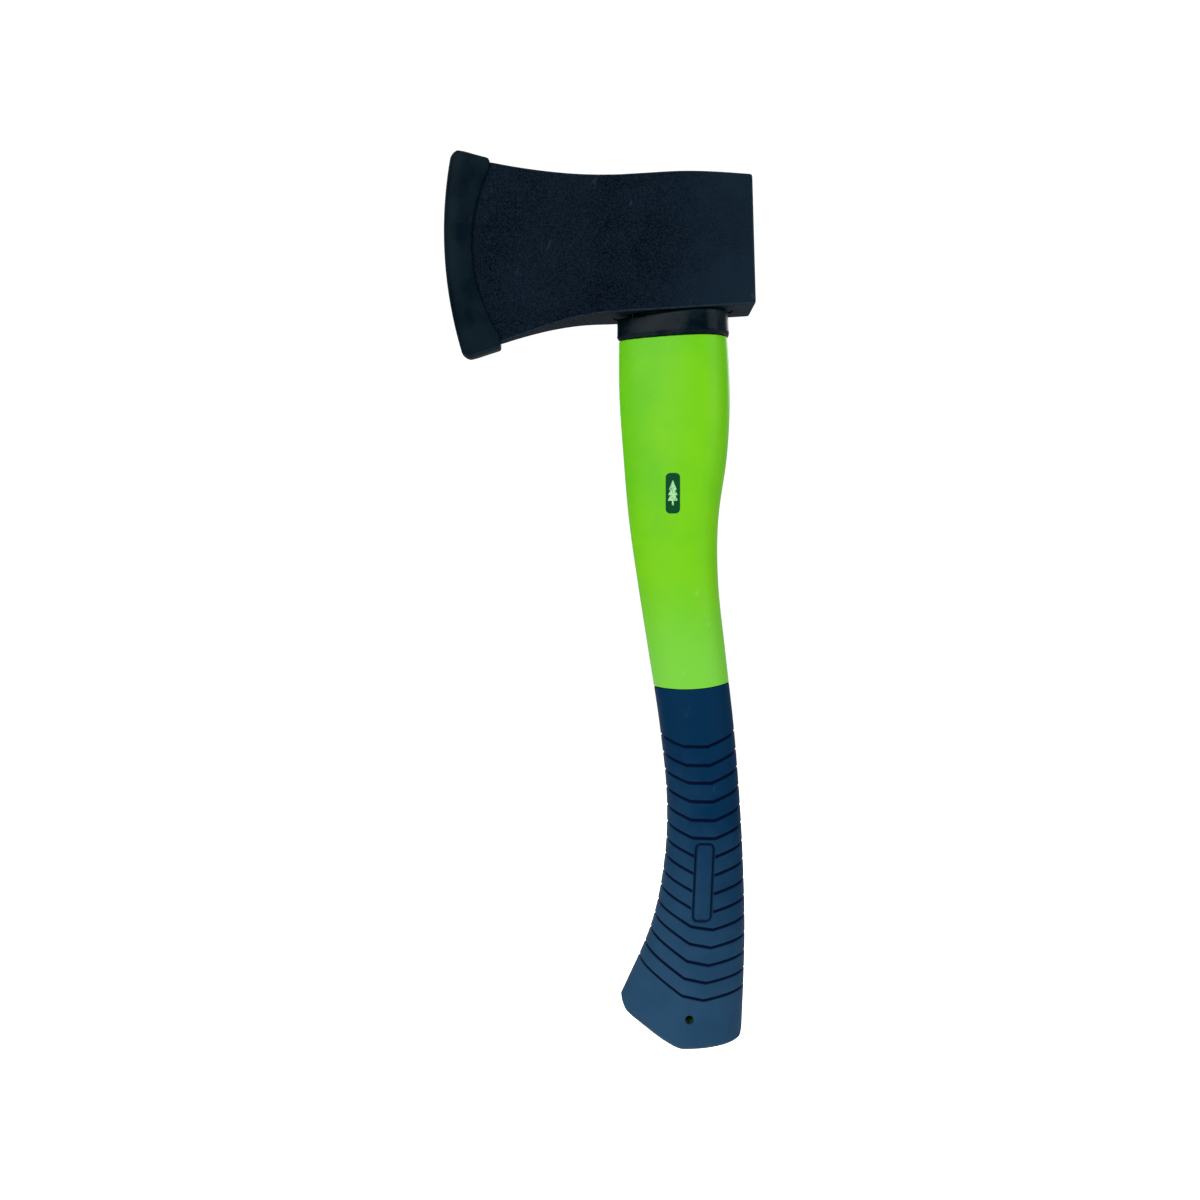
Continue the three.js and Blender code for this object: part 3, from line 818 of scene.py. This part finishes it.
COLLAR_COLUMNS = 96
COLLAR_ROUND = 0.9
COLLAR_BLACK = (0.0002, 0.0036, 0.0075, 1)
COLLAR_HAZE = (0.0095, 0.0190, 0.0235, 1)
inner = COLLAR_PROUD - COLLAR_WALL


def rounding(radius):
    """Steps round an edge, from its face out: how far back each is, and how far in."""
    turns = np.linspace(0, math.pi / 2, 6)
    return [(radius * (1 - math.cos(turn)), radius * (1 - math.sin(turn))) for turn in turns]


# Height at x = 0, how far it stands out, from the inside foot up and over (mm)
collar_rows = [(-COLLAR_FOOT + i / 4 * (COLLAR_FOOT - COLLAR_SEAT), inner) for i in range(5)]
collar_rows += [(-COLLAR_SEAT, inner + 0.3), (-COLLAR_SEAT, COLLAR_PROUD - 1.0)]
for back, inset in rounding(COLLAR_ROUND)[1:]:
    collar_rows.append((-COLLAR_SEAT - back, COLLAR_PROUD - inset))
collar_rows += [(-1.5 - i / 8 * 6.8, COLLAR_PROUD) for i in range(1, 9)]
collar_rows += [(-8.6, COLLAR_PROUD - 0.08), (-9.6, 0.25), (-9.85, 0.0), (-COLLAR_FOOT, -0.3)]
collar_rows += [(-COLLAR_FOOT, inner + 0.3), (-COLLAR_FOOT, inner)]
collar_table = np.array(collar_rows)


def on_collar(column, row):
    angle = turned_by(column, COLLAR_COLUMNS)
    level, grow = parted(collar_table[row])
    down = (-level - COLLAR_SEAT) / (COLLAR_FOOT - COLLAR_SEAT)
    slope = math.tan(HEAD_TILT) + down * (math.tan(COLLAR_TILT) - math.tan(HEAD_TILT))
    z = level + on_handle(level, angle, grow)[0] * slope
    x, y = on_handle(z, angle, grow)
    return x, y, z


collar = sewn_sheet("collar_sleeve", COLLAR_COLUMNS, len(collar_table) - 1, on_collar)
soften(collar)
smooth_shading(collar, 40)

gloss, tree, shader, place = new_material("collar_gloss", 0.24, specular=0.055)
hazy = effect(tree, mottle, place, scale=70)["Mask"]
scuffed = effect(tree, scuffs, place, scale=500)["Mask"]
hazy = maths(tree, "MAXIMUM", hazy, scuffed)
tree.links.new(blend(tree, hazy, COLLAR_BLACK, COLLAR_HAZE), shader.inputs["Base Color"])
tree.links.new(maths(tree, "MULTIPLY_ADD", hazy, 0.15, 0.22), shader.inputs["Roughness"])
bump(tree, shader, effect(tree, grain, place, scale=300)["Height"], 0.00004)
collar.data.materials.append(gloss)
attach(collar, "hatchet")
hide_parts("collar")

# --- Head ---------------------------------------------------------------------------------
# Drop-forged steel in a fine-textured black powder coat: a square poll, flat cheeks round
# the eye, and a blade that thins to a ground edge. It is drawn square, then hung at its tilt.

HEAD_THICKNESS = 27.0
POLL_REACH = 32.0
POLL_HEIGHT = 50.9
POLL_LEAN = 1.7
HEAD_TOP = 54.0
BIT_TOP = 65.2
BIT_DROP = 7.3
BIT_BACK = -69.7
BIT_REACH = 87.7
BIT_RADIUS = 165.6
GRIND = math.tan(math.radians(14))
EDGE_HALF = 0.25
HEAD_ROUND = 0.9
BIT_MIDDLE = (BIT_TOP - BIT_DROP) / 2
BIT_CENTRE = BIT_RADIUS - BIT_REACH
STEEL = (0.0001, 0.0014, 0.0058, 1)
STEEL_PALE = (0.0068, 0.0162, 0.0292, 1)
STEEL_GRAIN = (0.0080, 0.0165, 0.0260, 1)
STEEL_WORN_AND_RIM_LIT = (0.0260, 0.0400, 0.0520, 1)
STEEL_BARE = (0.30, 0.31, 0.32, 1)
STEEL_GROUND = (0.15, 0.16, 0.17, 1)
COAT_ROUGH, GROUND_ROUGH = 0.55, 0.35
GROUND_WIDTH = 7.0  # bare ground steel along the cutting edge (mm)
GROUND_BLEND = 0.3
GRIND_STRETCH = 0.05  # how little the grinding marks change along their length


def curve(*points):
    """Points on lines and cubic curves: a single point ends a line, three end a curve."""
    path = [points[0]]
    for step in points[1:]:
        if len(step) == 2:
            path.append(step)
            continue
        start = path[-1]
        corners = np.array((start, *step))
        for t in np.linspace(0, 1, 25)[1:]:
            weights = ((1 - t) ** 3, 3 * t * (1 - t) ** 2, 3 * t**2 * (1 - t), t**3)
            path.append(tuple(np.dot(weights, corners)))
    return np.array(path)


def read_off(path, x):
    """Height of a path drawn from the poll forward, at x."""
    return np.interp(-x, -path[:, 0], path[:, 1])


top_path = curve(
    (POLL_REACH + POLL_LEAN, POLL_HEIGHT),
    ((18.0, 53.1), (10.0, HEAD_TOP), (0.0, HEAD_TOP)),
    (-18.0, HEAD_TOP),
    ((-36.0, 54.5), (-48.8, 59.6), (BIT_BACK, BIT_TOP)),
    (-100.0, BIT_TOP),
)
low_path = curve(
    (40.0, 0.0),
    (-29.3, 0.0),
    ((-41.8, 0.0), (-52.3, -2.6), (BIT_BACK, -BIT_DROP)),
    (-100.0, -BIT_DROP),
)
cheek_path = curve(
    (40.0, HEAD_THICKNESS / 2),
    (-18.0, HEAD_THICKNESS / 2),
    ((-36.0, HEAD_THICKNESS / 2), (-48.8, 4.2), (BIT_BACK, 3.1)),
    (-92.7, 1.7),
)


def ground_half(x, z, radius, edge):
    """Half thickness of a double cone whose rim is the edge's curve."""
    return edge + np.maximum(radius - np.hypot(x - BIT_CENTRE, z - BIT_MIDDLE), 0) * GRIND


def hang(x, y, z):
    """Turns points of the square head to its tilt on the handle."""
    cos, sin = math.cos(HEAD_TILT), math.sin(HEAD_TILT)
    return x * cos - z * sin, y, x * sin + z * cos


head_ring = ring(26, 8, 4)
# Station, inset, shares of the thickness and the height, from the poll face to the edge
head_rows = [(POLL_REACH, HEAD_ROUND, share, share) for share in (0, 0.33, 0.67, 0.94)]
head_rows += [(POLL_REACH - back, inset, 1, 1) for back, inset in rounding(HEAD_ROUND)]
stations = [*np.linspace(29, -18, 20), *np.linspace(-20, -76, 30)]
stations += [-78, -79.5, -81, -82, -83.5, -85, -86.5, -87.4, -BIT_REACH]
head_rows += [(station, 0, 1, 1) for station in stations]
head_rows += [(-BIT_REACH, 0, 0, 1)]
head_table = np.array(head_rows)
BOW_FROM, BOW_RUN = 40, 36  # where the stations start to curve like the edge (mm)
CORNER_SHARE = 0.8  # the most that a corner takes of a half thickness


def on_head(column, row):
    across, up, out_y, out_z = head_ring[:, column % head_ring.shape[1]]
    station, inset, thick, tall = parted(head_table[row])
    bow = smooth_step((-station - BOW_FROM) / BOW_RUN)
    lean = POLL_LEAN * smooth_step(station / POLL_REACH) / POLL_HEIGHT

    def x_at(z):
        arc = BIT_CENTRE - np.sqrt(BIT_RADIUS**2 - (z - BIT_MIDDLE) ** 2) + BIT_REACH
        return station + lean * z + bow * arc

    top = read_off(top_path, x_at(read_off(top_path, station)))
    low = read_off(low_path, x_at(read_off(low_path, station)))
    middle, half_height = (top + low) / 2, (top - low) / 2 - inset
    bevel = ground_half(station, BIT_MIDDLE, BIT_RADIUS, EDGE_HALF)
    half = np.minimum(read_off(cheek_path, station), bevel) - inset
    corner = np.minimum(HEAD_ROUND, CORNER_SHARE * half)
    z = middle + (up * (half_height - corner) + out_z * corner) * tall
    y = (across * (half - corner) + out_y * corner) * thick
    return hang(x_at(z), y, z)


ON_CORNER = 0.1  # a point faces out both ways by more than this


def head_edges(column, row):
    """1 along the four long edges and round the poll, 0 elsewhere."""
    _, _, out_y, out_z = head_ring[:, column % head_ring.shape[1]]
    _, inset, thick, tall = parted(head_table[row])
    long_edge = (np.abs(out_y * out_z) > ON_CORNER) & (tall == 1)
    return long_edge | ((inset > 0.02) & (inset < 0.8 * HEAD_ROUND) & (thick == 1))


head = sewn_sheet(
    "head_forging", head_ring.shape[1], len(head_table) - 1, on_head, edge=head_edges
)
soften(head)

EYE_LENGTH = 36.0
EYE_WIDTH = 15.4
EYE_EGG = 0.2
EYE_COLUMNS = 96
EYE_TOP = 53.5
EYE_TOP_SLOPE = 0.036
EYE_FOOT_SLOPE = 0.061
FLARE = 0.9
BEYOND = 8.0  # how far the cutters start and end outside the head (mm)
# Height at x = 0, slope of that level, how far it is opened (mm)
eye_rows = np.array([
    (-BEYOND, EYE_FOOT_SLOPE, -7.0),
    (-BEYOND, EYE_FOOT_SLOPE, 1.4),
    (-0.01, EYE_FOOT_SLOPE, FLARE),
    (0.35, EYE_FOOT_SLOPE, 0.35),
    (FLARE, EYE_FOOT_SLOPE, 0.0),
    (EYE_TOP - FLARE, EYE_TOP_SLOPE, 0.0),
    (EYE_TOP - 0.35, EYE_TOP_SLOPE, 0.35),
    (EYE_TOP, EYE_TOP_SLOPE, FLARE),
    (EYE_TOP + BEYOND, EYE_TOP_SLOPE, 2.0),
    (EYE_TOP + BEYOND, EYE_TOP_SLOPE, -7.0),
])


def on_eye(column, row):
    level, slope, grow = parted(eye_rows[row])
    end, side = EYE_LENGTH / 2 + grow, EYE_WIDTH / 2 + grow
    x, y = on_section(-end, end, side, EYE_EGG, turned_by(column, EYE_COLUMNS))
    return x, np.where((row == 0) | (row == len(eye_rows) - 1), 0, y), level + x * slope


# The recess round the eye's lower mouth, over the collar (mm)
SEAT_SIZE = (48.0, 24.0)
seat_rows = np.array([(-BEYOND, 0), (-BEYOND, 1), (-1.0, 1), (0.45, 1), (0.5, 0.99), (0.5, 0)])


def on_seat(column, row):
    level, reach = parted(seat_rows[row])
    end, side = reach * SEAT_SIZE[0] / 2, reach * SEAT_SIZE[1] / 2
    x, y = on_section(-end, end, side, 0, turned_by(column, EYE_COLUMNS))
    return x, y, level + x * math.tan(HEAD_TILT)


cut_away(head, sewn_sheet("seat_cutter", EYE_COLUMNS, len(seat_rows) - 1, on_seat))
cut_away(head, sewn_sheet("eye_cutter", EYE_COLUMNS, len(eye_rows) - 1, on_eye))
smooth_shading(head, 32)

# Painted rim highlight: paler patches along the marked edges, broken up by noise
painted_rim_light, given, made = new_effect("painted_rim_light", {"Edge": 0.0, "Scale": 500.0}, ("Mask",))
uneven = noise(painted_rim_light, given["Place"], given["Scale"], 3)
rim_light = maths(painted_rim_light, "MULTIPLY_ADD", uneven, 0.9, given["Edge"])
painted_rim_light.links.new(ramp(painted_rim_light, rim_light, 1.15, 1.5), made["Mask"])

coat, tree, shader, place = new_material("powder_coated_steel", COAT_ROUGH, specular=0.012)
# Paler towards the poll, painted light from the lamps on that side, with random mottle
painted_light_and_mottle = maths(tree, "MULTIPLY", ramp(tree, axes(tree, place)["X"], -0.02, 0.04), 0.7)
painted_light_and_mottle = maths(tree, "MULTIPLY_ADD", effect(tree, mottle, place, scale=45)["Mask"], 0.3, painted_light_and_mottle)
colour = blend(tree, painted_light_and_mottle, STEEL, STEEL_PALE)
rough_coat = effect(tree, grain, place, scale=1500)
colour = tint(tree, rough_coat["Mask"], 0.65, colour, STEEL_GRAIN)
scuffed = maths(tree, "MULTIPLY", effect(tree, scuffs, place, scale=450)["Mask"], 0.4)
# Painted rim highlight along the edges, mixed with the real scuff wear
rim_light = effect(tree, painted_rim_light, place, edge=mark_on(tree, "edge"))["Mask"]
worn_and_rim_lit = maths(tree, "MAXIMUM", scuffed, maths(tree, "MULTIPLY", rim_light, 0.55))
colour = blend(tree, worn_and_rim_lit, colour, STEEL_WORN_AND_RIM_LIT)
# The ground bevel, under the guard, with its grinding marks across the edge
centre_x, _, centre_z = hang(BIT_CENTRE * MM, 0, BIT_MIDDLE * MM)
settings = {"Vector": place, "Location": (-centre_x, 0, -centre_z), "Scale": (1, 0, 1)}
from_centre = add_node(tree, "ShaderNodeMapping", settings).outputs[0]
reach = add_node(tree, "ShaderNodeVectorMath", {0: from_centre}, operation="LENGTH")
inside = (BIT_RADIUS - GROUND_WIDTH) * MM
ground = ramp(tree, reach.outputs["Value"], inside, inside + GROUND_BLEND * MM)
stretched = {"Vector": place, "Scale": (GRIND_STRETCH, 1, 1)}
marks = add_node(tree, "ShaderNodeMapping", stretched).outputs[0]
marks = effect(tree, grain, marks, scale=2200)
ground_colour = blend(tree, marks["Mask"], STEEL_GROUND, STEEL_BARE)
tree.links.new(blend(tree, ground, colour, ground_colour), shader.inputs["Base Color"])
tree.links.new(ground, shader.inputs["Metallic"])
roughness = maths(tree, "MULTIPLY_ADD", ground, GROUND_ROUGH - COAT_ROUGH, COAT_ROUGH)
tree.links.new(roughness, shader.inputs["Roughness"])
coated = maths(tree, "SUBTRACT", 1.0, ground)
relief = maths(tree, "MULTIPLY", rough_coat["Height"], coated)
scored = maths(tree, "MULTIPLY", marks["Height"], ground)
relief = maths(tree, "MULTIPLY_ADD", scored, 0.15, relief)
bump(tree, shader, relief, 0.0003)
head.data.materials.append(coat)
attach(head, "hatchet")
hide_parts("head")

# --- Eye bond -----------------------------------------------------------------------------
# Black epoxy poured round the core in the eye. It fills the eye from the top of the neck,
# where it squeezed out a little, to just below the top of the head, and creeps up the walls.

BOND_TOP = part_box("eye_bond")[1].z / MM
BOND_FOOT = -1.1  # below the underside of the head, just clear of the neck (mm)
CREEP = 0.5
EPOXY = (0.0040, 0.0045, 0.0060, 1)
EPOXY_DUSTY = (0.0140, 0.0150, 0.0160, 1)
BOND_COLUMNS = 80
WALL_ROWS, POOL_ROWS = 6, 10
# Share of the way in to the core, share of the height, how far it creeps up (mm)
bond_rows = [(0, i / WALL_ROWS, 0) for i in range(WALL_ROWS)]
for i in range(POOL_ROWS + 1):
    bond_rows.append((i / POOL_ROWS, 1, CREEP * abs(2 * i / POOL_ROWS - 1) ** 3))
bond_rows += [(1, 1 - i / WALL_ROWS, 0) for i in range(1, WALL_ROWS + 1)]
bond_rows += [(0, 0, 0)]
bond_table = np.array(bond_rows)


def on_bond(column, row):
    angle = turned_by(column, BOND_COLUMNS)
    inward, height, creep = parted(bond_table[row])
    wall, core_face = EYE_LENGTH / 2 - GAP, CORE_DEPTH / 2 + GAP
    outer = np.array(on_section(-wall, wall, EYE_WIDTH / 2 - GAP, EYE_EGG, angle))
    inner = np.array(on_section(-core_face, core_face, CORE_WIDTH / 2 + GAP, 0, angle))
    x, y = outer + (inner - outer) * inward
    foot = BOND_FOOT + x * math.tan(HEAD_TILT)
    return x, y, foot + (BOND_TOP - CREEP - foot) * height + creep


bond = sewn_sheet("eye_bond_pour", BOND_COLUMNS, len(bond_table) - 1, on_bond)
soften(bond)
smooth_shading(bond, 50)

epoxy, tree, shader, place = new_material("black_epoxy", 0.28, specular=0.25)
clouds = effect(tree, mottle, place, scale=300)["Mask"]
tree.links.new(blend(tree, clouds, EPOXY, EPOXY_DUSTY), shader.inputs["Base Color"])
bump(tree, shader, effect(tree, grain, place, scale=400)["Height"], 0.0001)
bond.data.materials.append(epoxy)
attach(bond, "hatchet")
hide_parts("eye_bond")

# --- Edge guard ---------------------------------------------------------------------------
# A moulded black rubber channel that grips the bit and covers the cutting edge. It pulls
# straight off the front.

GUARD_NOSE = 2.38
GUARD_WALL = 2.4
GUARD_LIP = 0.9  # the wall at its rear edge
LIP_RUN = 9.0  # how far from the nose the wall takes to thin to the lip
GUARD_WRAP = 8.9
GUARD_BACK_RADIUS = 66.0
GUARD_BACK_SPAN = 60.0  # how far from the middle the rear edge keeps its curve
GUARD_TOE = (1.4, 5.6)
GUARD_HEEL = (2.4, 5.6)
GUARD_CORNER = 3.0
GUARD_ROUND = (1.8, 1.0)  # outside and inside its long edges
RUBBER = (0.0006, 0.0045, 0.0090, 1)
RUBBER_PALE = (0.0035, 0.0100, 0.0150, 1)
RUBBER_WORN_AND_RIM_LIT = (0.0180, 0.0280, 0.0340, 1)

guard_ring = ring(30, 4, 4)
NOSE_ROUND = 2.3
outer_radius = BIT_RADIUS + GUARD_NOSE
inner_radius = BIT_RADIUS + GAP


def nose_at(z, radius):
    return BIT_CENTRE - np.sqrt(radius**2 - (z - BIT_MIDDLE) ** 2)


corner_x = nose_at(BIT_TOP + GUARD_TOE[1], outer_radius) + GUARD_CORNER
# Skin (0 outer, 1 inner), share of the way from the rim to the nose (or, below 0, one less
# than minus the distance from the nose), how far the rim is drawn in, share of the thickness
guard_rows = [(1, 1, 0, 0)] + [(1, 1, 0, share) for share in (0.5, 1)]
guard_rows += [(1, share, 0, 1) for share in (0.95, 0.85, 0.7, 0.55, 0.4, 0.25, 0.12, 0.05)]
guard_rows += [(1, 0, 0, 1), (1, 0, -0.5, 1), (0, 0, 0.9, 1), (0, 0, 0.5, 1)]
guard_rows += [(0, 0.015, 0.2, 1), (0, 0.03, 0.05, 1)]
guard_rows += [(0, share, 0, 1) for share in (0.06, 0.12, 0.25, 0.4, 0.55, 0.68)]
guard_rows += [(0, -reach - 1, 0, 1) for reach in (2.9, 2.3, 1.7, 1.15, 0.7, 0.35, 0.1, 0.0)]
guard_rows += [(0, -1, 0, 0.5), (0, -1, 0, 0)]
guard_table = np.array(guard_rows, float)


def on_guard(column, row):
    across, up, out_y, out_z = guard_ring[:, column % guard_ring.shape[1]]
    skin, share, inset, thick = parted(guard_table[row])
    radius = np.where(skin > 0, inner_radius, outer_radius)
    high = np.where(skin > 0, BIT_TOP + GAP, BIT_TOP + GUARD_TOE[1])
    low = np.where(skin > 0, -BIT_DROP - GAP, -BIT_DROP - GUARD_HEEL[1])
    z = (high + low) / 2 + up * (high - low) / 2
    for _ in range(3):
        back = GUARD_WRAP - BIT_REACH + GUARD_BACK_RADIUS
        off_middle = np.minimum(np.abs(z - BIT_MIDDLE), GUARD_BACK_SPAN)
        back = back - np.sqrt(GUARD_BACK_RADIUS**2 - off_middle**2)
        back = np.minimum(back, BIT_BACK)
        nose = nose_at(z, radius)
        reach = np.where(share < 0, -share - 1, (1 - share) * (back - nose))
        x = nose + reach
        forward = np.clip((BIT_BACK - x) / (BIT_BACK - corner_x), 0, 1)
        toe = BIT_TOP + GUARD_TOE[0] + forward * (GUARD_TOE[1] - GUARD_TOE[0])
        heel = -BIT_DROP - GUARD_HEEL[0] - forward * (GUARD_HEEL[1] - GUARD_HEEL[0])
        near = np.clip(1 - reach / GUARD_CORNER, 0, 1)
        trim = GUARD_CORNER * (1 - np.sqrt(1 - near**2))
        top = np.where(skin > 0, high, toe - trim) - inset
        foot = np.where(skin > 0, low, heel + trim) + inset
        wall = GUARD_LIP + (GUARD_WALL - GUARD_LIP) * np.clip(1 - reach / LIP_RUN, 0, 1)
        gap = np.where(skin > 0, GAP, GAP + wall)
        cheek = read_off(cheek_path, x) + gap
        over_edge = np.where(skin > 0, GAP / 2, GUARD_WALL)
        cone = ground_half(x, z, radius, EDGE_HALF + over_edge)
        round_off = np.clip(1 - reach / NOSE_ROUND, 0, 1)
        tuck = np.where(skin > 0, 0, NOSE_ROUND * (1 - np.sqrt(1 - round_off**2)))
        half = np.minimum(cheek, cone) - tuck - inset
        corner = np.where(skin > 0, GUARD_ROUND[1], GUARD_ROUND[0])
        corner = np.minimum(corner, CORNER_SHARE * np.maximum(half, 0.05))
        z = (top + foot) / 2 + up * ((top - foot) / 2 - corner) + out_z * corner
        y = (across * (half - corner) + out_y * corner) * thick
    return hang(x, y, z)


def guard_edges(column, row):
    """1 along the long edges of the outside, 0 elsewhere."""
    _, _, out_y, out_z = guard_ring[:, column % guard_ring.shape[1]]
    return (np.abs(out_y * out_z) > ON_CORNER) & (guard_table[row][..., 0] == 0)


guard = sewn_sheet(
    "edge_guard_moulding", guard_ring.shape[1], len(guard_table) - 1, on_guard, edge=guard_edges
)
soften(guard)
smooth_shading(guard, 45)

black_rubber, tree, shader, place = new_material("guard_rubber", 0.45, specular=0.02)
colour = blend(tree, effect(tree, mottle, place, scale=60)["Mask"], RUBBER, RUBBER_PALE)
scuffed = effect(tree, scuffs, place, scale=500)["Mask"]
# Painted rim highlight along the long outer edges, mixed with the real scuff wear
rim_light = effect(tree, painted_rim_light, place, edge=mark_on(tree, "edge"))["Mask"]
colour = tint(tree, maths(tree, "MAXIMUM", scuffed, rim_light), 0.5, colour, RUBBER_WORN_AND_RIM_LIT)
tree.links.new(colour, shader.inputs["Base Color"])
moulded_relief(tree, shader, place, 1200, 0.3)
guard.data.materials.append(black_rubber)
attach(guard, "guard")
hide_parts("edge_guard")

# --- Studio -------------------------------------------------------------------------------
# A white floor well below the knob, soft lights all round, and the camera square to the side.

CAMERA_PLACE = (-0.0293, -0.580, -0.1144)
AIM = (-0.03, 0, -0.11)
LENS, SENSOR = 43.35, 36
FLOOR_LEVEL = -0.5
LIGHT_SIZE = 1.2
WHITE = (1, 1, 1, 1)

bpy.ops.object.select_all(action="DESELECT")
bpy.ops.mesh.primitive_circle_add(
    vertices=96, radius=3.0, fill_type="NGON", location=(0, 0, FLOOR_LEVEL)
)
floor = bpy.context.object
floor.name = "studio_floor"
paper, tree, shader, place = new_material("floor_paper", 0.9, specular=0.1)
shader.inputs["Base Color"].default_value = (0.9, 0.9, 0.9, 1)
shader.inputs["Emission Color"].default_value = WHITE
glow = ramp(tree, add_node(tree, "ShaderNodeLightPath").outputs["Is Camera Ray"], 0.0, 1.0)
glow = maths(tree, "MULTIPLY_ADD", glow, 0.9, 0.1)
tree.links.new(glow, shader.inputs["Emission Strength"])
floor.data.materials.append(paper)

# Square area lights, turned to the middle of the hatchet: place and power
for name, spot, power in (
    ("light_left", (-1.1, -1.5, 0.8), 27),
    ("light_right", (1.3, -1.3, 0.7), 15),
    ("light_back_left", (-0.9, 1.6, 0.8), 16),
    ("light_back_right", (0.9, 1.6, 0.8), 16),
):
    data = bpy.data.lights.new(name, "AREA")
    data.size = LIGHT_SIZE
    data.energy = power
    light = bpy.data.objects.new(name, data)
    light.location = spot
    light.rotation_euler = (Vector(AIM) - Vector(spot)).to_track_quat("-Z", "Y").to_euler()
    bpy.context.scene.collection.objects.link(light)

world = bpy.data.worlds.new("studio_world")
world.use_nodes = True
bpy.context.scene.world = world
tree = world.node_tree
seen = add_node(tree, "ShaderNodeBackground", {"Color": WHITE, "Strength": 1.05})
lighting = add_node(tree, "ShaderNodeBackground", {"Color": WHITE, "Strength": 0.25})
ray = add_node(tree, "ShaderNodeLightPath").outputs["Is Camera Ray"]
mixed = add_node(tree, "ShaderNodeMixShader", {0: ray, 1: lighting.outputs[0], 2: seen.outputs[0]})
tree.links.new(mixed.outputs[0], tree.nodes["World Output"].inputs["Surface"])

camera_data = bpy.data.cameras.new("camera")
camera_data.lens = LENS
camera_data.sensor_width = SENSOR
camera_data.clip_start = 0.01
camera = bpy.data.objects.new("camera", camera_data)
camera.location = CAMERA_PLACE
camera.rotation_euler = (math.radians(90), 0, 0)
bpy.context.scene.collection.objects.link(camera)
bpy.context.scene.camera = camera
bpy.context.scene.view_settings.view_transform = "Standard"
